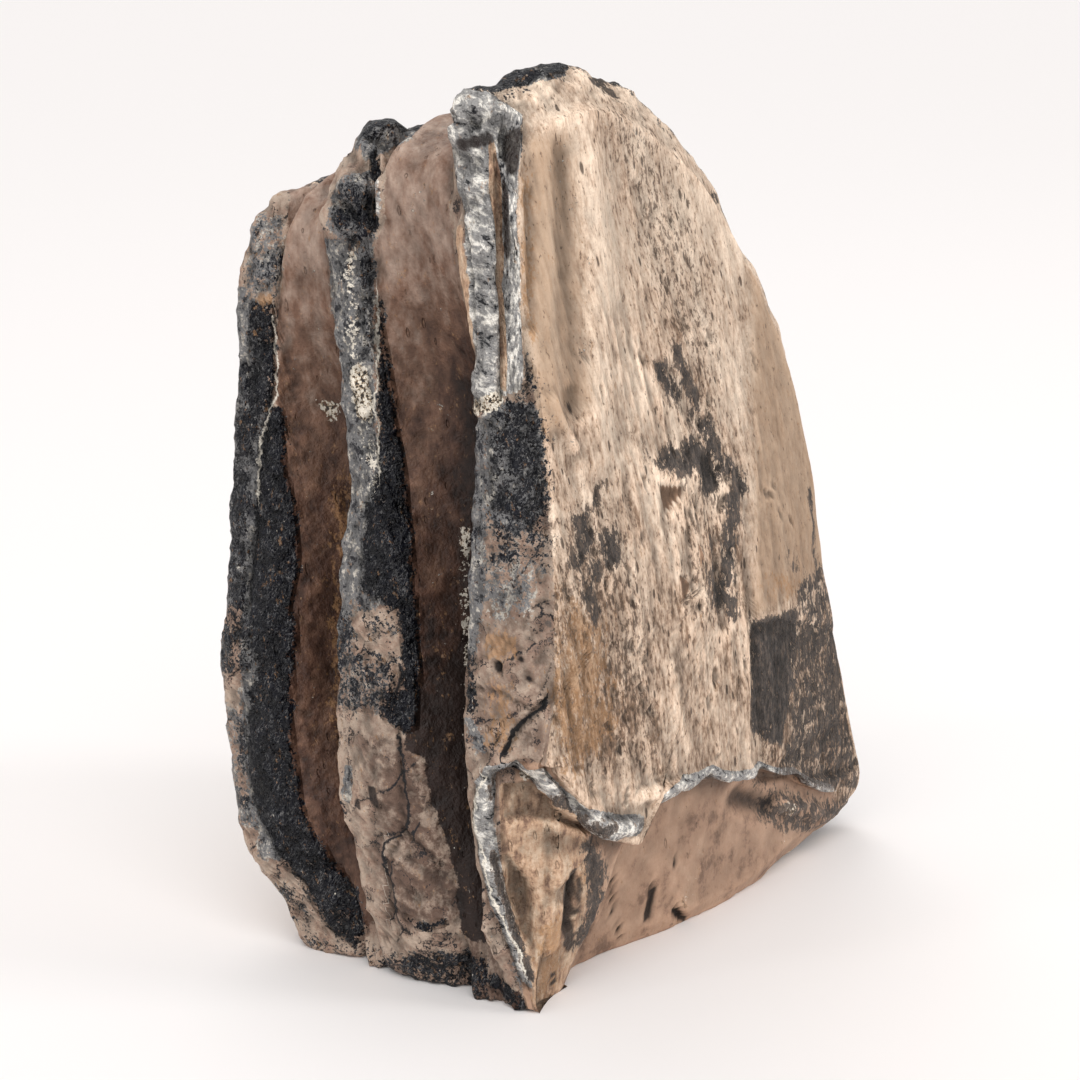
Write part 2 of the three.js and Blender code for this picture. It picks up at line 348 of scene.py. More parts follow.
@dataclass(frozen=True)
class PlateStack:
    """Main sizes of the three plates, mm. They are the solid model's sizes."""

    outline: tuple[Pair, ...] = (
        (-29, -2), (-32.6, 6), (-34.6, 20), (-35.2, 38), (-35.4, 58), (-35.4, 78), (-35.4, 94),
        (-34.2, 104.5), (-26.5, 109.4), (-16, 109.8), (-4, 106.2), (8, 99.6), (18.6, 88.8), (27.3, 76.2),
        (34, 60), (38, 44), (43, 29), (48.2, 15), (53.2, 5), (46, 1.8), (34, 0.7), (20, -2), (4, -2),
        (-13, -2),
    )  # fmt: skip
    middle_x: float = 3.0
    middle_z: float = 47.0
    box_middle: Pair = (8.66, 1.84)
    height_share: tuple[float, ...] = (1, 0.932, 0.876)
    width_share: tuple[float, ...] = (1, 0.985, 0.955)
    edge_heights: tuple[float, ...] = (0, 12, 25, 40, 55, 70, 85, 100)
    front_plate: tuple[tuple[float, ...], ...] = (
        (-21.0, -22.6, -23.4, -23.4, -23.0, -21.8, -20.0, -18.8),
        (-15.5, -14.6, -13.2, -12.4, -13.4, -14.5, -14.0, -12.2),
    )
    middle_plate: tuple[tuple[float, ...], ...] = (
        (-10.5, -8.6, -5.3, -4.0, -3.7, -1.6, 0.9, 1.2),
        (3.0, 5.4, 7.4, 7.4, 5.5, 4.9, 6.6, 7.6),
    )
    back_plate: tuple[tuple[float, ...], ...] = (
        (6.5, 10.8, 14.4, 15.2, 14.2, 15.3, 16.5, 14.6),
        (18.0, 24.0, 27.2, 26.8, 25.0, 23.5, 21.8, 19.4),
    )
    groove_depth: float = 9.5
    far_groove_share: float = 0.8
    crown_groove_share: float = 0.22
    face_bulge: float = 1.4
    far_turn: float = 1.6
    ridge_lump: float = 0.7
    groove_section: tuple[Triple, ...] = ((0.08, 0.45, 1), (0.28, 0.95, 0), (0.5, 1, 0), (0.78, 0.72, 0))
    ridge_shares: tuple[float, ...] = (0.03, 0.14, 0.34, 0.62, 0.85, 0.97)  # across a ridge, front to back
    ridge_insets: tuple[tuple[float, ...], ...] = (
        (3.0, 1.4, 0.3, -0.2, 0.0, 0.9),
        (3.0, 1.4, 0.4, 0.1, 0.1, 0.9),
    )  # the round section of the middle and of the back ridge
    knob: float = 1.8
    flute: tuple[float, float, float, float] = (-21.0, 4.5, 0.8, 62.0)
    break_line: tuple[Pair, ...] = (
        (-35, 31.5), (-31, 31.8), (-28, 28), (-24, 24), (-19.5, 19.8), (-12, 17), (-10.6, 22), (-5, 22.8),
        (3, 22), (17.5, 18.6), (28.5, 14.8), (42, 8.6),
    )  # fmt: skip
    break_fade: float = 0.09
    window_depth: float = 2.2
    chamfer_y: Triple = (-20.4, -17.9, -15.6)
    recess_y: float = -20.4
    recess_pull: Pair = (1.6, 2.6)
    wall: float = 0.012
    widest_break: float = 0.93  # share of the way out that the edge of the break stays within
    corner_insets: Triple = (4.2, 8.2, 0.9)  # of the corner: whole, at the window's slant and at its tip
    recess_start: Pair = (-14, -9)  # x where the window gives way to the recess
    foot_shift: float = 2.5  # how far the foot of the plates is set back, past the near edge
    least_gap: float = 1.5  # between two plates
    back_inset: float = 3.6  # of the back face's rim
    whole_share: float = 0.62  # of the way out, where the rows of the rim begin on a whole face
    columns: int = 404
    column_step: Triple = (0.56, 1.0, 0.78)  # near edge, crown and far edge, foot
    rows: dict[Zone, tuple[int, ...]] = field(
        default_factory=lambda: {
            Zone.FRONT_FACE: (40,),
            Zone.BREAK: (5, 22),
            Zone.FRONT_RIDGE: (7, 8, 8),
            Zone.FIRST_GROOVE: (4, 6, 6, 6, 6),
            Zone.MIDDLE_RIDGE: (3, 5, 6, 5, 3),
            Zone.SECOND_GROOVE: (4, 6, 6, 6, 6),
            Zone.BACK_RIDGE: (3, 5, 6, 5, 3),
            Zone.BACK_FACE: (5, 24),
        }
    )

    def bearing(self, x: Array, z: Array) -> Array:
        """Direction from the middle of the face. It rises from the near edge over the foot to the crown."""
        angle = np.arctan2(z - self.middle_z, x - self.middle_x)
        return np.where(angle > np.pi / 2, angle - 2 * np.pi, angle)

    def turns(self) -> Array:
        """Places of the columns round the outline: close together on the near edge, wider over the crown.

        The outline is measured in small steps, each step counts as its length over the wanted spacing,
        and the columns divide that count evenly.

        Returns:
            The places, 0 to 1 once round.
        """
        fine = np.linspace(0, 1, 6001)
        x, z = closed_curve(np.array(self.outline, float), fine[:-1]).T
        near, crown, foot = self.column_step
        spacing = mix(crown, near, rise(-x, 24, 30) * rise(z, -1, 1))
        spacing = mix(spacing, foot, fall(z, 4, 12) * fall(-x, 26, 29))
        length = np.hypot(np.roll(x, -1) - x, np.roll(z, -1) - z)
        count = np.concatenate([[0], np.cumsum(length / spacing)])
        return np.interp(np.arange(self.columns) / self.columns * count[-1], count, fine)

    def edge(self, values: tuple[float, ...], z: Array) -> Array:
        """y of one edge of a plate at height z."""
        return smooth_values(np.array(self.edge_heights, float), np.array(values, float), z)

    def lump(self, turn: Array, phase: float) -> Array:
        """Slow swellings along a ridge: two waves that never quite repeat."""
        angle = 2 * np.pi * turn
        return self.ridge_lump / 2 * (np.sin(17 * angle + phase) + 0.6 * np.sin(29 * angle + 2.3 * phase))

    def skin(self) -> Skin:
        """Works out the whole skin before any relief is added."""
        return SkinRows(self).skin()


class SkinRows:
    """The rows of the skin, from the middle of the front face to the middle of the back face.

    A row holds one point for each column. Along a column the front face, the break and the back face are
    functions of the share of the way out from the middle. The ridges and grooves are a Catmull-Rom curve
    through control points that are set in from the plates' outlines.
    """

    def __init__(self, stack: PlateStack) -> None:
        """Measures the outline and the break, once for all rows.

        Args:
            stack: The plates' sizes.
        """
        self.stack = stack
        self.turn = stack.turns()
        self.foot_x, self.foot_z = closed_curve(np.array(stack.outline, float), self.turn).T
        self.radius = np.hypot(self.foot_x - stack.middle_x, self.foot_z - stack.middle_z)
        angle = stack.bearing(self.foot_x, self.foot_z)
        line = np.array(stack.break_line, float)
        bearing = stack.bearing(line[:, 0], line[:, 1])
        reach = np.hypot(line[:, 0] - stack.middle_x, line[:, 1] - stack.middle_z)
        first, last, fade = bearing[0], bearing[-1], stack.break_fade
        self.broken = rise(angle, first - fade, first + fade) * fall(angle, last - fade, last + fade)
        beside = rise(angle, first - 4 * fade, first - fade) * fall(angle, last + fade, last + 4 * fade)
        edge = np.minimum(stack.widest_break, np.interp(angle, bearing, reach) / self.radius)
        self.break_share = mix(stack.whole_share, edge, beside)
        self.in_recess = rise(mix(stack.middle_x, self.foot_x, self.break_share), *stack.recess_start)
        self.wall_share = self.break_share + stack.wall
        window = fall(self.foot_z, 29.5, 32.5) * fall(self.foot_x, -24, -16)
        self.chamfer = window * rise(self.foot_z, -1, 11)
        self.tip = window - self.chamfer
        whole_inset, chamfer_inset, tip_inset = stack.corner_insets
        inset = mix(mix(whole_inset, chamfer_inset, self.chamfer), tip_inset, self.tip)
        self.corner_share = np.maximum(1 - inset / self.radius, self.wall_share + 0.01)
        self.foot_shift = stack.foot_shift * fall(self.foot_z, 1, 12) * rise(self.foot_x, -24, -8)
        self.rows, self.stations, self.past = [], [], []
        self.controls, self.marks = [], []

    def skin(self) -> Skin:
        """Puts the rows together.

        Returns:
            The skin before any relief is added.
        """
        self._front_face()
        self._break()
        self._front_ridge()
        self._sides()
        self._back_face()
        parts = (self.rows, self.stations, self.past)
        return Skin(*(np.stack(part, axis=1) for part in parts))

    def rim(self, plate: float) -> tuple[Array, Array, float]:
        """A plate's outline: the front plate's, drawn in sideways and downwards.

        Args:
            plate: 0, 1 or 2 from front to back, or a place between two plates.

        Returns:
            x and z of the outline and z of its middle, mm.
        """
        high = np.interp(plate, [0, 1, 2], self.stack.height_share)
        wide = np.interp(plate, [0, 1, 2], self.stack.width_share)
        x = self.stack.middle_x + (self.foot_x - self.stack.middle_x) * wide
        return x, np.where(self.foot_z > 0, self.foot_z * high, self.foot_z), self.stack.middle_z * high

    def at_share(self, plate: float, share: Array, y: Array) -> Array:
        """A row of points at a share of the way out from the middle of a plate's outline.

        Args:
            plate: Whose outline it is.
            share: 0 in the middle, 1 on the outline.
            y: y of the points, mm.

        Returns:
            The points.
        """
        x, z, middle_z = self.rim(plate)
        out_x = self.stack.middle_x + (x - self.stack.middle_x) * share
        return np.stack([out_x, y + 0 * out_x, middle_z + (z - middle_z) * share], axis=-1)

    def at_inset(self, plate: float, inset: Array, y: Array) -> Array:
        """A row of points set in from a plate's outline, mm."""
        x, z, middle_z = self.rim(plate)
        return self.at_share(plate, 1 - inset / np.hypot(x - self.stack.middle_x, z - middle_z), y)

    def face_y(self, share: Array) -> Array:
        """y of the whole front face: the plate's edge with a bulge, a flute and a turn back at the far edge.

        Args:
            share: 0 in the middle, 1 on the outline.

        Returns:
            y, mm.
        """
        stack = self.stack
        x = mix(stack.middle_x, self.foot_x, share)
        z = mix(stack.middle_z, self.foot_z, share)
        flute_x, flute_width, flute_height, flute_foot = stack.flute
        flute = flute_height * hill(x, flute_x, flute_width) * rise(z, flute_foot, 90)
        bulge = stack.face_bulge * np.sqrt(np.clip(1 - share**2, 0, 1))
        return stack.edge(stack.front_plate[0], z) - bulge + stack.far_turn * rise(x, 5, 45) - flute

    def broken_y(self, share: Array) -> Array:
        """y past the edge of the break: a step down in the window, the hollow ground in the recess.

        Args:
            share: 0 in the middle, 1 on the outline.

        Returns:
            y, mm.
        """
        down = (share - self.break_share) / (1 - self.break_share)
        x = mix(self.stack.middle_x, self.foot_x, share)
        pull = self.stack.recess_pull[0] + self.stack.recess_pull[1] * down
        recess = self.stack.recess_y + pull * fall(x, -16, 8)
        stepped = mix(self.face_y(share) + self.stack.window_depth, recess, self.in_recess)
        return mix(self.face_y(share), stepped, self.broken)

    def back_y(self, share: Array) -> Array:
        """y of the back face: the plate's edge with a bulge.

        Args:
            share: 0 in the middle, 1 on the outline.

        Returns:
            y, mm.
        """
        _, z, middle_z = self.rim(2)
        bulge = self.stack.face_bulge * np.sqrt(np.clip(1 - share**2, 0, 1))
        return self.stack.edge(self.stack.back_plate[1], mix(middle_z, z, share)) + bulge

    def add(self, points: Array, station: float, gone: Array) -> None:
        """Adds a row.

        Args:
            points: Its points.
            station: Its place in the stack.
            gone: 1 where the outside is broken away.
        """
        self.rows.append(points)
        self.stations.append(np.full(self.stack.columns, station))
        self.past.append(gone + 0 * self.turn)

    def _front_face(self) -> None:
        """Adds the rows of the front face, closer together towards its rim."""
        (count,) = self.stack.rows[Zone.FRONT_FACE]
        for step in range(count):
            way = 1 - (1 - step / count) ** 1.3
            share = self.break_share * way
            self.add(self.at_share(0, share, self.face_y(share)), -1 + 0.5 * way, 0.0)

    def _break(self) -> None:
        """Adds the wall of the break and the broken ground from it to the corner."""
        wall_rows, broken_rows = self.stack.rows[Zone.BREAK]
        for step in range(wall_rows):
            way = step / wall_rows
            share = mix(self.break_share, self.wall_share, way)
            y = mix(self.face_y(share), self.broken_y(share), way)
            self.add(self.at_share(0, share, y), -0.5 + 0.05 * way, self.broken * way)
        for step in range(broken_rows):
            way = step / broken_rows
            share = mix(self.wall_share, self.corner_share, way)
            self.add(self.at_share(0, share, self.broken_y(share)), -0.45 + 0.15 * way, self.broken)

    def _front_ridge(self) -> None:
        """Sets the front ridge's control points: a round section, cut off slanting at the window."""
        stack, chamfer = self.stack, self.chamfer
        whole_y = stack.edge(stack.front_plate[0], self.foot_z) + stack.far_turn * rise(self.foot_x, 5, 45)
        rim_y = mix(whole_y, self.broken_y(self.corner_share), self.broken * self.in_recess)
        front = mix(rim_y, stack.chamfer_y[0], chamfer)
        back = np.maximum(stack.edge(stack.front_plate[1], self.foot_z) + self.foot_shift, front + 3)
        crest = mix((front + back) / 2, stack.chamfer_y[2], chamfer)
        shoulder = mix(front + 0.3 * (crest - front) + 0.6, stack.chamfer_y[1], chamfer)
        shoulder_inset = mix(mix(1.2, 4.0, chamfer), 0.3, self.tip)
        knob = stack.knob * hill(self.foot_z, 105, 4) * fall(self.foot_x, -31, -26)
        before, after = stack.lump(self.turn, 1), stack.lump(self.turn, 2)
        self.controls = [
            self.rows[-1],
            self.at_share(0, self.corner_share, front),
            self.at_inset(0, shoulder_inset - before * (1 - chamfer), shoulder),
            self.at_inset(0, 0.3 * chamfer - before - 0.6 * knob, crest),
            self.at_inset(0, 0.6 - after - knob, back - mix(0.9, 0.5, chamfer)),
        ]
        self.marks = [-0.35, -0.3, -0.12, 0.0, 0.24]
        self.ridge_back = back

    def _groove(self, plate: int, start: Array, end: Array) -> None:
        """Sets the control points of a groove.

        Args:
            plate: The plate behind it.
            start: y of the plate's edge in front of it, mm.
            end: y of the edge behind it, mm.
        """
        stack = self.stack
        depth = stack.groove_depth * rise(self.foot_z, -1, 16)
        depth = depth * mix(1, stack.crown_groove_share, rise(self.foot_z, 82, 103))
        depth = depth * mix(1, stack.far_groove_share, rise(self.foot_x, -10, 20))
        gap = np.maximum(end - start, stack.least_gap)
        for share, depth_share, more in stack.groove_section:
            self.controls.append(self.at_inset(plate - 0.5, depth_share * depth + more, start + share * gap))
            self.marks.append(plate - 0.72 + 0.5 * share)

    def _ridge(self, plate: int, start: Array, end: Array, phase: float) -> None:
        """Sets the control points of a ridge behind the first.

        Args:
            plate: The plate that it is the edge of.
            start: y of the plate's front, mm.
            end: y of its back, mm.
            phase: Start of the waves of its lumps.
        """
        before, after = self.stack.lump(self.turn, phase), self.stack.lump(self.turn, phase + 1)
        lumps = (before, before, before, after, after, after)
        for share, inset, lump in zip(self.stack.ridge_shares, self.stack.ridge_insets[plate - 1], lumps):
            self.controls.append(self.at_inset(plate, inset - lump, start + share * (end - start)))
            self.marks.append(plate + 0.48 * (share - 0.5))

    def _sides(self) -> None:
        """Sets the other control points and adds the rows of the ridges and grooves."""
        stack = self.stack
        edges = [
            stack.edge(side, self.rim(plate)[1]) + self.foot_shift
            for plate, sides in ((1, stack.middle_plate), (2, stack.back_plate))
            for side in sides
        ]
        middle_front, middle_back, back_front, back_back = edges
        middle_front = np.maximum(middle_front, self.ridge_back + stack.least_gap)
        self._groove(1, self.ridge_back, middle_front)
        self._ridge(1, middle_front, middle_back, 3)
        self._groove(2, middle_back, back_front)
        self._ridge(2, back_front, back_back, 5)
        edge_x, edge_z, edge_middle = self.rim(2)
        self.back_share = 1 - stack.back_inset / np.hypot(edge_x - stack.middle_x, edge_z - edge_middle)
        for share, mark in ((self.back_share, 2.35), (np.full(stack.columns, 0.8), 2.5)):
            self.controls.append(self.at_share(2, share, self.back_y(share)))
            self.marks.append(mark)
        zones = (Zone.FRONT_RIDGE, Zone.FIRST_GROOVE, Zone.MIDDLE_RIDGE, Zone.SECOND_GROOVE, Zone.BACK_RIDGE)
        spans = [count for zone in zones for count in stack.rows[zone]] + [stack.rows[Zone.BACK_FACE][0]]
        for start, count in enumerate(spans, start=1):
            four = self.controls[start - 1 : start + 3]
            for step in range(count):
                station = mix(self.marks[start], self.marks[start + 1], step / count)
                gone = self.broken * fall(np.array(station), -0.3, 0.05)
                self.add(blend_four(four, step / count), station, gone)

    def _back_face(self) -> None:
        """Adds the rows of the back face, from its rim to its middle."""
        count = self.stack.rows[Zone.BACK_FACE][1]
        for step in range(count + 1):
            share = self.back_share * (1 - step / count)
            self.add(self.at_share(2, share, self.back_y(share)), 2.35 + 0.65 * step / count, 0.0)


# ---- Places on the near side -------------------------------------------------------------------------


def places(text: str) -> Array:
    """Places written as pairs with commas between them, such as "-31 99, -30.8 91": one row each."""
    return np.array([pair.split() for pair in text.split(",")], float)


class NearSide:
    """The near side of the skin, as seen square to its corner.

    A place is given as across and up in mm. Across runs from the back ridge, at about -40, by way of the
    front ridge's corner, near 0, to the far end of the front face, at about 42. Up is the height.
    """

    TURN = math.radians(55)  # how far the view is turned from the front face

    def __init__(self, skin: Skin) -> None:
        """Works out across, up and how far each point faces the view.

        Args:
            skin: The skin before any relief.
        """
        x, y, z = np.moveaxis(skin.points, -1, 0)
        self.across = x * math.cos(self.TURN) - y * math.sin(self.TURN)
        self.up = z
        self.station = skin.station
        facing = skin.normals() @ np.array([-math.sin(self.TURN), -math.cos(self.TURN), 0.0])
        self.seen = rise(facing, -0.35, 0.0)

    def within(self, low: float, high: float, soft: float = 0.03) -> Array:
        """1 where a row's station lies between low and high."""
        return rise(self.station, low - soft, low + soft) * fall(self.station, high - soft, high + soft)

    def distance(self, path: Array) -> Array:
        """Distance from a line through places, the least over its segments.

        Args:
            path: The line's places, one row each.

        Returns:
            The distance at every point of the skin, mm.
        """
        nearest = np.full(self.across.shape, 1e3)
        for start, end in zip(path, path[1:] if len(path) > 1 else path):
            run = end - start
            length = max(float(run @ run), 1e-9)
            along = ((self.across - start[0]) * run[0] + (self.up - start[1]) * run[1]) / length
            along = np.clip(along, 0, 1)
            off = np.hypot(self.across - start[0] - along * run[0], self.up - start[1] - along * run[1])
            nearest = np.minimum(nearest, off)
        return nearest

    def inside(self, outline: Array) -> Array:
        """Distance from a closed outline, positive inside it.

        A place is inside where a line from it to the right crosses the outline an odd number of times.

        Args:
            outline: The outline's corners, one row each.

        Returns:
            The distance at every point of the skin, mm.
        """
        crossings = np.zeros(self.across.shape, int)
        for (x_0, z_0), (x_1, z_1) in zip(outline, np.roll(outline, -1, axis=0)):
            if z_0 == z_1:
                continue
            spans = (self.up > z_0) != (self.up > z_1)
            crossing = x_0 + (self.up - z_0) * (x_1 - x_0) / (z_1 - z_0)
            crossings += spans & (self.across < crossing)
        distance = self.distance(np.concatenate([outline, outline[:1]]))
        return np.where(crossings % 2 == 1, distance, -distance)

    def shape(self, path: str, width: float | None, soft: float) -> Array:
        """1 along a line or inside an outline, on the side that faces the view.

        Args:
            path: The line's places, or the outline's corners.
            width: Half width of the line, mm. None for an outline.
            soft: Length over which it fades, mm.

        Returns:
            The mask at every point of the skin.
        """
        if width is None:
            return self.seen * rise(self.inside(places(path)), -soft / 2, soft / 2)
        return self.seen * fall(self.distance(places(path)), width - soft / 2, width + soft / 2)

    def most(self, shapes: tuple[tuple[str, float | None, float], ...]) -> Array:
        """The greatest of several shapes, each given by its path, width and softness."""
        return np.max([self.shape(*shape) for shape in shapes], axis=0)

    def offset(self, path: str, reach: float = 3.0) -> Array:
        """Signed distance from an upright line: negative on its left, held within the reach.

        The line's place across is a smooth function of height, and past its ends the distance grows.

        Args:
            path: The line's places.
            reach: The greatest distance that is kept, mm.

        Returns:
            The distance at every point of the skin, mm.
        """
        line = places(path)
        line = line[np.argsort(line[:, 1], kind="stable")]
        middle = smooth_values(line[:, 1], line[:, 0], self.up)
        lean = np.gradient(line[:, 0], line[:, 1])
        slant = np.interp(self.up, line[:, 1], np.hypot(1, lean))
        past = np.maximum(line[0, 1] - self.up, 0) + np.maximum(self.up - line[-1, 1], 0)
        value = (self.across - middle) / slant
        value = np.where(past > 0, np.sign(value) * np.hypot(value, 2 * past) + 1.0 * (value == 0), value)
        hidden = reach * (1 - self.seen)
        return np.clip(value + np.where(value < 0, -hidden, hidden), -reach, reach)


# Stations, least and greatest, that marks and areas lie on.
FRONT = (-1.0, 0.2)
RIDGE_3 = (-0.5, 0.34)
RIDGE_2 = (0.62, 1.36)
RIDGE_2_TOP = (0.55, 1.36)
RIDGE_1 = (1.6, 2.5)
FACE = (-1.0, -0.2)
BREAK = (-1.0, 0.27)


# ---- Nodes of materials ------------------------------------------------------------------------------


class Graph:
    """A node tree with short ways to add nodes."""

    def __init__(self, tree: bpy.types.NodeTree) -> None:
        """Keeps the tree that the nodes go into."""
        self.tree = tree

    def add(self, kind: str, inputs: dict | None = None, **settings: object) -> bpy.types.Node:
        """Adds a node.

        Args:
            kind: Blender's name of the node type, without its ShaderNode prefix.
            inputs: Values or sockets for its inputs, by name or number.
            **settings: Its properties.

        Returns:
            The node.
        """
        node = self.tree.nodes.new(kind if kind.startswith("NodeGroup") else "ShaderNode" + kind)
        for name, value in settings.items():
            setattr(node, name, value)
        for name, value in (inputs or {}).items():
            self.feed(node.inputs[name], value)
        return node

    def feed(self, socket: Socket, value: object) -> None:
        """Links a socket to the input, or sets the input's own value.

        Args:
            socket: The input.
            value: A socket or a value.
        """
        if isinstance(value, Socket):
            self.tree.links.new(value, socket)
        elif value is not None:
            socket.default_value = value

    def math(self, operation: str, *values: object) -> Socket:
        """A Math node's result.

        Args:
            operation: Blender's name of the operation.
            *values: Numbers or sockets, in the order of the node's inputs.

        Returns:
            The result.
        """
        node = self.add("Math", operation=operation)
        for socket, value in zip(node.inputs, values):
            self.feed(socket, value)
        return node.outputs[0]

    def times(self, first: object, second: object) -> Socket:
        """The product of two numbers."""
        return self.math("MULTIPLY", first, second)

    def scaled(self, value: object, factor: object, more: object) -> Socket:
        """The value times a factor, plus more."""
        return self.math("MULTIPLY_ADD", value, factor, more)

    def centred(self, value: object) -> Socket:
        """A noise less its middle value, so that it swings round 0."""
        return self.math("SUBTRACT", value, 0.5)

    def range(
        self, value: object, low: object, high: object, to_low: float = 0.0, to_high: float = 1.0
    ) -> Socket:
        """A smooth step.

        Args:
            value: What it depends on.
            low: Where it starts.
            high: Where it ends, above or below low.
            to_low: Its value at low.
            to_high: Its value at high.

        Returns:
            The step.
        """
        node = self.add("MapRange", interpolation_type="SMOOTHSTEP")
        names = ("Value", "From Min", "From Max", "To Min", "To Max")
        for name, number in zip(names, (value, low, high, to_low, to_high)):
            self.feed(node.inputs[name], number)
        return node.outputs["Result"]

    def _mixed(self, kind: str, numbers: Triple, values: Values) -> bpy.types.Node:
        """A Mix node of a data type, with its share and its two values fed by the numbers of their inputs."""
        return self.add("Mix", dict(zip(numbers, values)), data_type=kind)

    def blend(self, share: object, first: object, second: object) -> Socket:
        """Two colours mixed: the first where share is 0."""
        return self._mixed("RGBA", (0, 6, 7), (share, first, second)).outputs[2]

    def blend_number(self, share: object, first: object, second: object) -> Socket:
        """Two numbers mixed: the first where share is 0."""
        return self._mixed("FLOAT", (0, 2, 3), (share, first, second)).outputs[0]

    def stretch(self, place: object, sizes: Triple, turn: Triple = (0, 0, 0)) -> Socket:
        """Coordinates turned, then divided by the sizes, by a Mapping node."""
        inputs = {"Vector": place, "Rotation": turn, "Scale": sizes}
        return self.add("Mapping", inputs, vector_type="TEXTURE").outputs[0]

    def noise(self, place: object, scale: float, detail: float, rough: float, warp: float = 0.0) -> Socket:
        """Cloudy noise, 0 to 1."""
        inputs = {"Vector": place, "Scale": scale, "Detail": detail, "Roughness": rough, "Distortion": warp}
        return self.add("TexNoise", inputs).outputs["Fac"]

    def streaks(
        self,
        place: object,
        sizes: Triple,
        detail: float,
        rough: float,
        turn: Triple = (0, 0, 0),
        warp: float = 0.0,
    ) -> Socket:
        """Noise drawn out along an axis: the coordinates are turned and divided by the sizes first."""
        return self.noise(self.stretch(place, sizes, turn), 1.0, detail, rough, warp)

    def cells(self, place: object, scale: float, feature: str = "F1") -> bpy.types.Node:
        """A Voronoi node."""
        return self.add("TexVoronoi", {"Vector": place, "Scale": scale}, feature=feature)

    def ramp(self, value: object, stops: tuple[tuple[float, Triple], ...]) -> Socket:
        """A colour picked by a number, mixed evenly between its stops.

        Args:
            value: The number.
            stops: Rising positions with their colours.

        Returns:
            The colour.
        """
        node = self.add("ValToRGB", {"Fac": value})
        elements = node.color_ramp.elements
        while len(elements) < len(stops):
            elements.new(0.5)
        for element, (position, colour) in zip(elements, stops):
            element.position = position
            element.color = (*colour, 1.0)
        return node.outputs["Color"]

    def separate(self, vector: object, axis: str = "X") -> Socket:
        """One part of a vector or colour."""
        return self.add("SeparateXYZ", {0: vector}).outputs[axis]

    def attribute(self, name: str) -> Socket:
        """A number kept at each vertex."""
        return self.add("Attribute", attribute_name=name).outputs["Fac"]


# ---- The studio --------------------------------------------------------------------------------------


